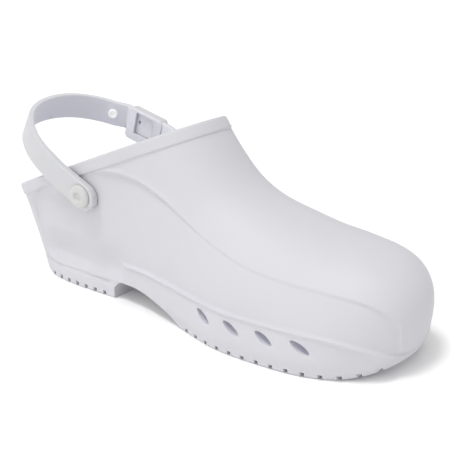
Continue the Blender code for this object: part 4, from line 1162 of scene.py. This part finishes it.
def insideBand(piece):
    # 1 on the face turned to the foot, where the strap's finish paints a lighter, bluer colour as painted
    # light
    amounts = []
    for vertex in piece.data.vertices:
        inward = Vector((outerPoint.x - vertex.co.x, -vertex.co.y, 0)).normalized()
        amounts.append(ease(*facing, vertex.normal.dot(inward)))
    return amounts


# Finishes: light and deep are the clouded white's two ends. Where the inside attribute is set, the inner
# colour is painted light, a lighter and bluer colour standing for light that comes through the translucent
# wall, and through sets a painted glow for the same light.

looks = {
    # body: painted lighter, bluer colour and a faint painted glow on the lining and in the vents
    "body": {"name": "bodyWhite", "light": (0.625, 0.62, 0.655), "deep": (0.59, 0.585, 0.62), "cloud": 0.35,
             "inner": (0.78, 0.775, 0.90), "through": 0.04, "rough": 0.56, "spread": 0.04,
             "specular": 0.34, "bump": 0.03 * mm, "grain": 1.0, "seed": 0.0},
    "insole": {"name": "insoleWhite", "light": (0.72, 0.72, 0.76), "deep": (0.62, 0.62, 0.67), "cloud": 0.5,
               "rough": 0.75, "spread": 0.05, "specular": 0.3, "bump": 0.12 * mm, "grain": 0.6, "seed": 3.0},
    # strap: painted lighter, bluer colour on the shaded face turned to the foot
    "strap": {"name": "strapWhite", "light": (0.61, 0.61, 0.63), "deep": (0.57, 0.57, 0.59), "cloud": 0.3,
              "inner": (0.77, 0.77, 0.81), "rough": 0.42, "spread": 0.04, "specular": 0.45,
              "bump": 0.02 * mm, "grain": 1.2, "seed": 7.0},
    # pin finish: the stud, marked inside all over, gets a lighter painted colour and a painted glow; the pins
    # carry no inside mark
    "pin": {"name": "pinWhite", "light": (0.61, 0.612, 0.60), "deep": (0.55, 0.552, 0.54), "cloud": 0.5,
            "inner": (0.88, 0.88, 0.86), "through": 0.20, "rough": 0.34, "spread": 0.05, "specular": 0.5,
            "bump": 0.01 * mm, "grain": 1.0, "seed": 11.0},
}


def mouldGrain():
    # fine skin of a moulded elastomer: height and a little change of gloss
    maker = groupMaker("mouldGrain", "ShaderNodeTree", {"Scale": 1.0, "Seed": 0.0},
                       {"Height": "NodeSocketFloat", "Gloss": "NodeSocketFloat"})
    place = maker.node("ShaderNodeTexCoord").outputs["Object"]
    shifted = maker.node("ShaderNodeVectorMath", {"operation": "ADD"}, n0=place, n1="Seed").outputs[0]
    sized = maker.node("ShaderNodeVectorMath", {"operation": "SCALE"}, n0=shifted, Scale="Scale").outputs[0]
    fine = maker.node("ShaderNodeTexNoise", None, Vector=sized, Scale=1400.0, Detail=2.0).outputs[0]
    broad = maker.node("ShaderNodeTexNoise", None, Vector=sized, Scale=60.0, Detail=3.0).outputs[0]
    maker.tree.links.new(maker.math("MULTIPLY_ADD", broad, 0.6, fine), maker.sink.inputs["Height"])
    maker.tree.links.new(broad, maker.sink.inputs["Gloss"])
    return maker.tree


def mouldTint():
    # very slight clouding of the white
    maker = groupMaker("mouldTint", "ShaderNodeTree", {"Light": (0.8, 0.8, 0.83, 1.0),
                                                       "Deep": (0.7, 0.7, 0.74, 1.0), "Amount": 0.3},
                       {"Color": "NodeSocketColor"})
    place = maker.node("ShaderNodeTexCoord").outputs["Object"]
    cloud = maker.node("ShaderNodeTexNoise", None, Vector=place, Scale=22.0, Detail=4.0).outputs[0]
    level = maker.node("ShaderNodeMapRange", None, Value=cloud, From_Min=0.35, From_Max=0.75).outputs[0]
    mix = maker.node("ShaderNodeMix", {"data_type": "RGBA"}, Factor=maker.math("MULTIPLY", level, "Amount"),
                     A="Light", B="Deep")
    maker.tree.links.new(mix.outputs["Result"], maker.sink.inputs["Color"])
    return maker.tree


def elastomer(look, grainTree, tintTree):
    made = bpy.data.materials.new(look["name"])
    made.use_nodes = True
    maker = TreeMaker(made.node_tree)
    shader = made.node_tree.nodes["Principled BSDF"]
    tint = maker.node("ShaderNodeGroup", {"node_tree": tintTree}, Light=(*look["light"], 1),
                      Deep=(*look["deep"], 1), Amount=look["cloud"])
    grain = maker.node("ShaderNodeGroup", {"node_tree": grainTree}, Scale=look["grain"], Seed=look["seed"])
    colour = tint.outputs["Color"]
    inside = maker.node("ShaderNodeAttribute", {"attribute_name": "inside"}).outputs["Fac"]
    # painted light: a lighter, bluer colour where the inside attribute is set
    if "inner" in look:
        colour = maker.node("ShaderNodeMix", {"data_type": "RGBA"}, Factor=inside, A=colour,
                            B=(*look["inner"], 1)).outputs["Result"]
    # painted glow where the inside attribute is set, standing for light through the translucent wall; the
    # material is no lamp
    if "through" in look:
        maker.feed(shader.inputs["Emission Strength"], maker.math("MULTIPLY", inside, look["through"]))
        shader.inputs["Emission Color"].default_value = (*look["inner"], 1)
    gloss = maker.node("ShaderNodeMapRange", None, Value=grain.outputs["Gloss"], From_Min=0.3, From_Max=0.7,
                       To_Min=look["rough"] - look["spread"], To_Max=look["rough"] + look["spread"])
    relieved = maker.node("ShaderNodeBump", None, Strength=1.0, Distance=look["bump"],
                          Height=grain.outputs["Height"])
    maker.feed(shader.inputs["Base Color"], colour)
    maker.feed(shader.inputs["Roughness"], gloss.outputs[0])
    maker.feed(shader.inputs["Normal"], relieved.outputs["Normal"])
    shader.inputs["Specular IOR Level"].default_value = look["specular"]
    return made


# Build

grainTree, tintTree = mouldGrain(), mouldTint()
finishes = {slot: elastomer(look, grainTree, tintTree) for slot, look in looks.items()}
shell, outerSkinTree = buildShell(finishes["body"])
print("shell", len(shell.data.vertices))
longLine, shortLine, sleeveMiddle, sleeveWay = strapLines()
outerSeat = seatOn(longLine, longTilt, outerPoint, -1)
innerSeat = seatOn(shortLine, shortTilt, innerPoint, 1)
farSide = [point for point in longLine if point.y > 0]
studPoint = min(farSide, key=lambda p: abs((p - sleeveMiddle).length - stud["behind"]))
studSeat = seatOn(longLine, longTilt, studPoint, -1)
sleeveWay, sleeveOut, sleeveUp = sleeveFrame(sleeveWay)
spareSeat = (sleeveMiddle - sleeveWay * sleeve["holeBehind"] + sleeveUp * sleeve["holeRise"], sleeveOut)

cutWith(shell, archCutter(), notchRow("heelNotches", heelNotches), notchRow("foreNotches", foreNotches),
        ventSet("outerVents", -1), ventSet("innerVents", 1), pinHole("outerHole", outerSeat),
        pinHole("innerHole", innerSeat))
shell.data.set_sharp_from_angle(angle=40 * deg)
# marks where the body's finish paints light on the lining and in the vents
markInside(shell, insideShell(shell, outerSkinTree))
print("shell cut", len(shell.data.vertices))
band = buildBand(finishes["body"])
footInsole = buildInsole(finishes["insole"])
print("band and insole")
heelStrap = buildStrap(finishes["strap"], longLine, outerSeat, studSeat, spareSeat)
strapSleeve = buildSleeve(finishes["strap"], shortLine, sleeveMiddle, sleeveWay, innerSeat, spareSeat)
outerHead = buildPin("pinOuter", outerSeat, strap["padThick"], finishes["pin"])
innerHead = buildPin("pinInner", innerSeat, strap["thick"], finishes["pin"])
smallStud = buildStud(finishes["pin"], studSeat)
# painted light on the strap's and sleeve's faces turned to the foot
for piece in (heelStrap, strapSleeve):
    markInside(piece, insideBand(piece))
# the whole stud gets the lighter painted colour and the painted glow
markInside(smallStud, np.ones(len(smallStud.data.vertices)))
for title, line in (("long strap", longLine), ("short strap", shortLine)):
    print(title, round(sum((b - a).length for a, b in zip(line[:-1], line[1:])) / mm, 1), "mm")
print("strap, sleeve, pins and stud")

for piece, node, slot in (
        (shell, "clog_body", "body"), (footInsole, "insole", "insole"), (heelStrap, "heel_strap", "strap"),
        (strapSleeve, "strap_sleeve", "strap"), (outerHead, "pin_outer", "pin"),
        (innerHead, "pin_inner", "pin"), (smallStud, "strap_stud", "pin")):
    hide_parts(node)
    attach(piece, "root")
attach(band, "root")


# Floor, light and camera

view = {"azimuth": 38 * deg, "elevation": 20 * deg, "distance": 0.5101, "target": (0.0158, 0.0035, 0.045),
        "sensor": 36, "focalPixels": 900, "imagePixels": 458, "clipStart": 0.01}
studio = {"world": 0.67, "floor": 1.0, "floorHalf": 2.5, "floorRough": 0.9, "floorSpecular": 0.1}
suns = (
    # name, strength, softness, azimuth, elevation
    ("frontSun", 0.48, 60 * deg, 5 * deg, 35 * deg),
    ("highSun", 1.22, 16 * deg, -28 * deg, 72 * deg),
)


def buildFloor():
    half = studio["floorHalf"]
    corners = [(x * half, y * half, 0) for x, y in ((-1, -1), (1, -1), (1, 1), (-1, 1))]
    data = meshFrom("floor", corners, [(0, 1, 2, 3)])
    if data.polygons[0].normal.z < 0:
        data.flip_normals()
    made = bpy.data.materials.new("floorWhite")
    made.use_nodes = True
    shader = made.node_tree.nodes["Principled BSDF"]
    shader.inputs["Base Color"].default_value = (*(studio["floor"],) * 3, 1)
    shader.inputs["Roughness"].default_value = studio["floorRough"]
    shader.inputs["Specular IOR Level"].default_value = studio["floorSpecular"]
    piece = addPiece("floor", data, made)


def aimed(azimuth, elevation):
    # direction from the shoe, azimuth 0 in front of the outer side and growing towards the toe
    return Vector((math.sin(azimuth) * math.cos(elevation), -math.cos(azimuth) * math.cos(elevation),
                   math.sin(elevation)))


def placed(name, data, target, way, distance):
    # lamp or camera that looks back along its way to the target
    made = bpy.data.objects.new(name, data)
    bpy.context.scene.collection.objects.link(made)
    made.location = Vector(target) + way * distance
    made.rotation_euler = (-way).to_track_quat("-Z", "Y").to_euler()
    return made


def buildSun(name, strength, softness, azimuth, elevation):
    data = bpy.data.lights.new(name, "SUN")
    data.energy = strength
    data.angle = softness
    placed(name, data, (0, 0, 0), aimed(azimuth, elevation), 2)


def buildWorld():
    world = bpy.data.worlds.new("studio")
    world.use_nodes = True
    background = world.node_tree.nodes["Background"]
    background.inputs["Color"].default_value = (1, 1, 1, 1)
    background.inputs["Strength"].default_value = studio["world"]
    bpy.context.scene.world = world
    bpy.context.scene.view_settings.view_transform = "Standard"


def buildCamera():
    data = bpy.data.cameras.new("view")
    data.lens = view["sensor"] * view["focalPixels"] / view["imagePixels"]
    data.sensor_width = view["sensor"]
    data.clip_start = view["clipStart"]
    way = aimed(view["azimuth"], view["elevation"])
    bpy.context.scene.camera = placed("view", data, view["target"], way, view["distance"])


buildFloor()
buildWorld()
for sun in suns:
    buildSun(*sun)
buildCamera()
print("floor, light and camera")
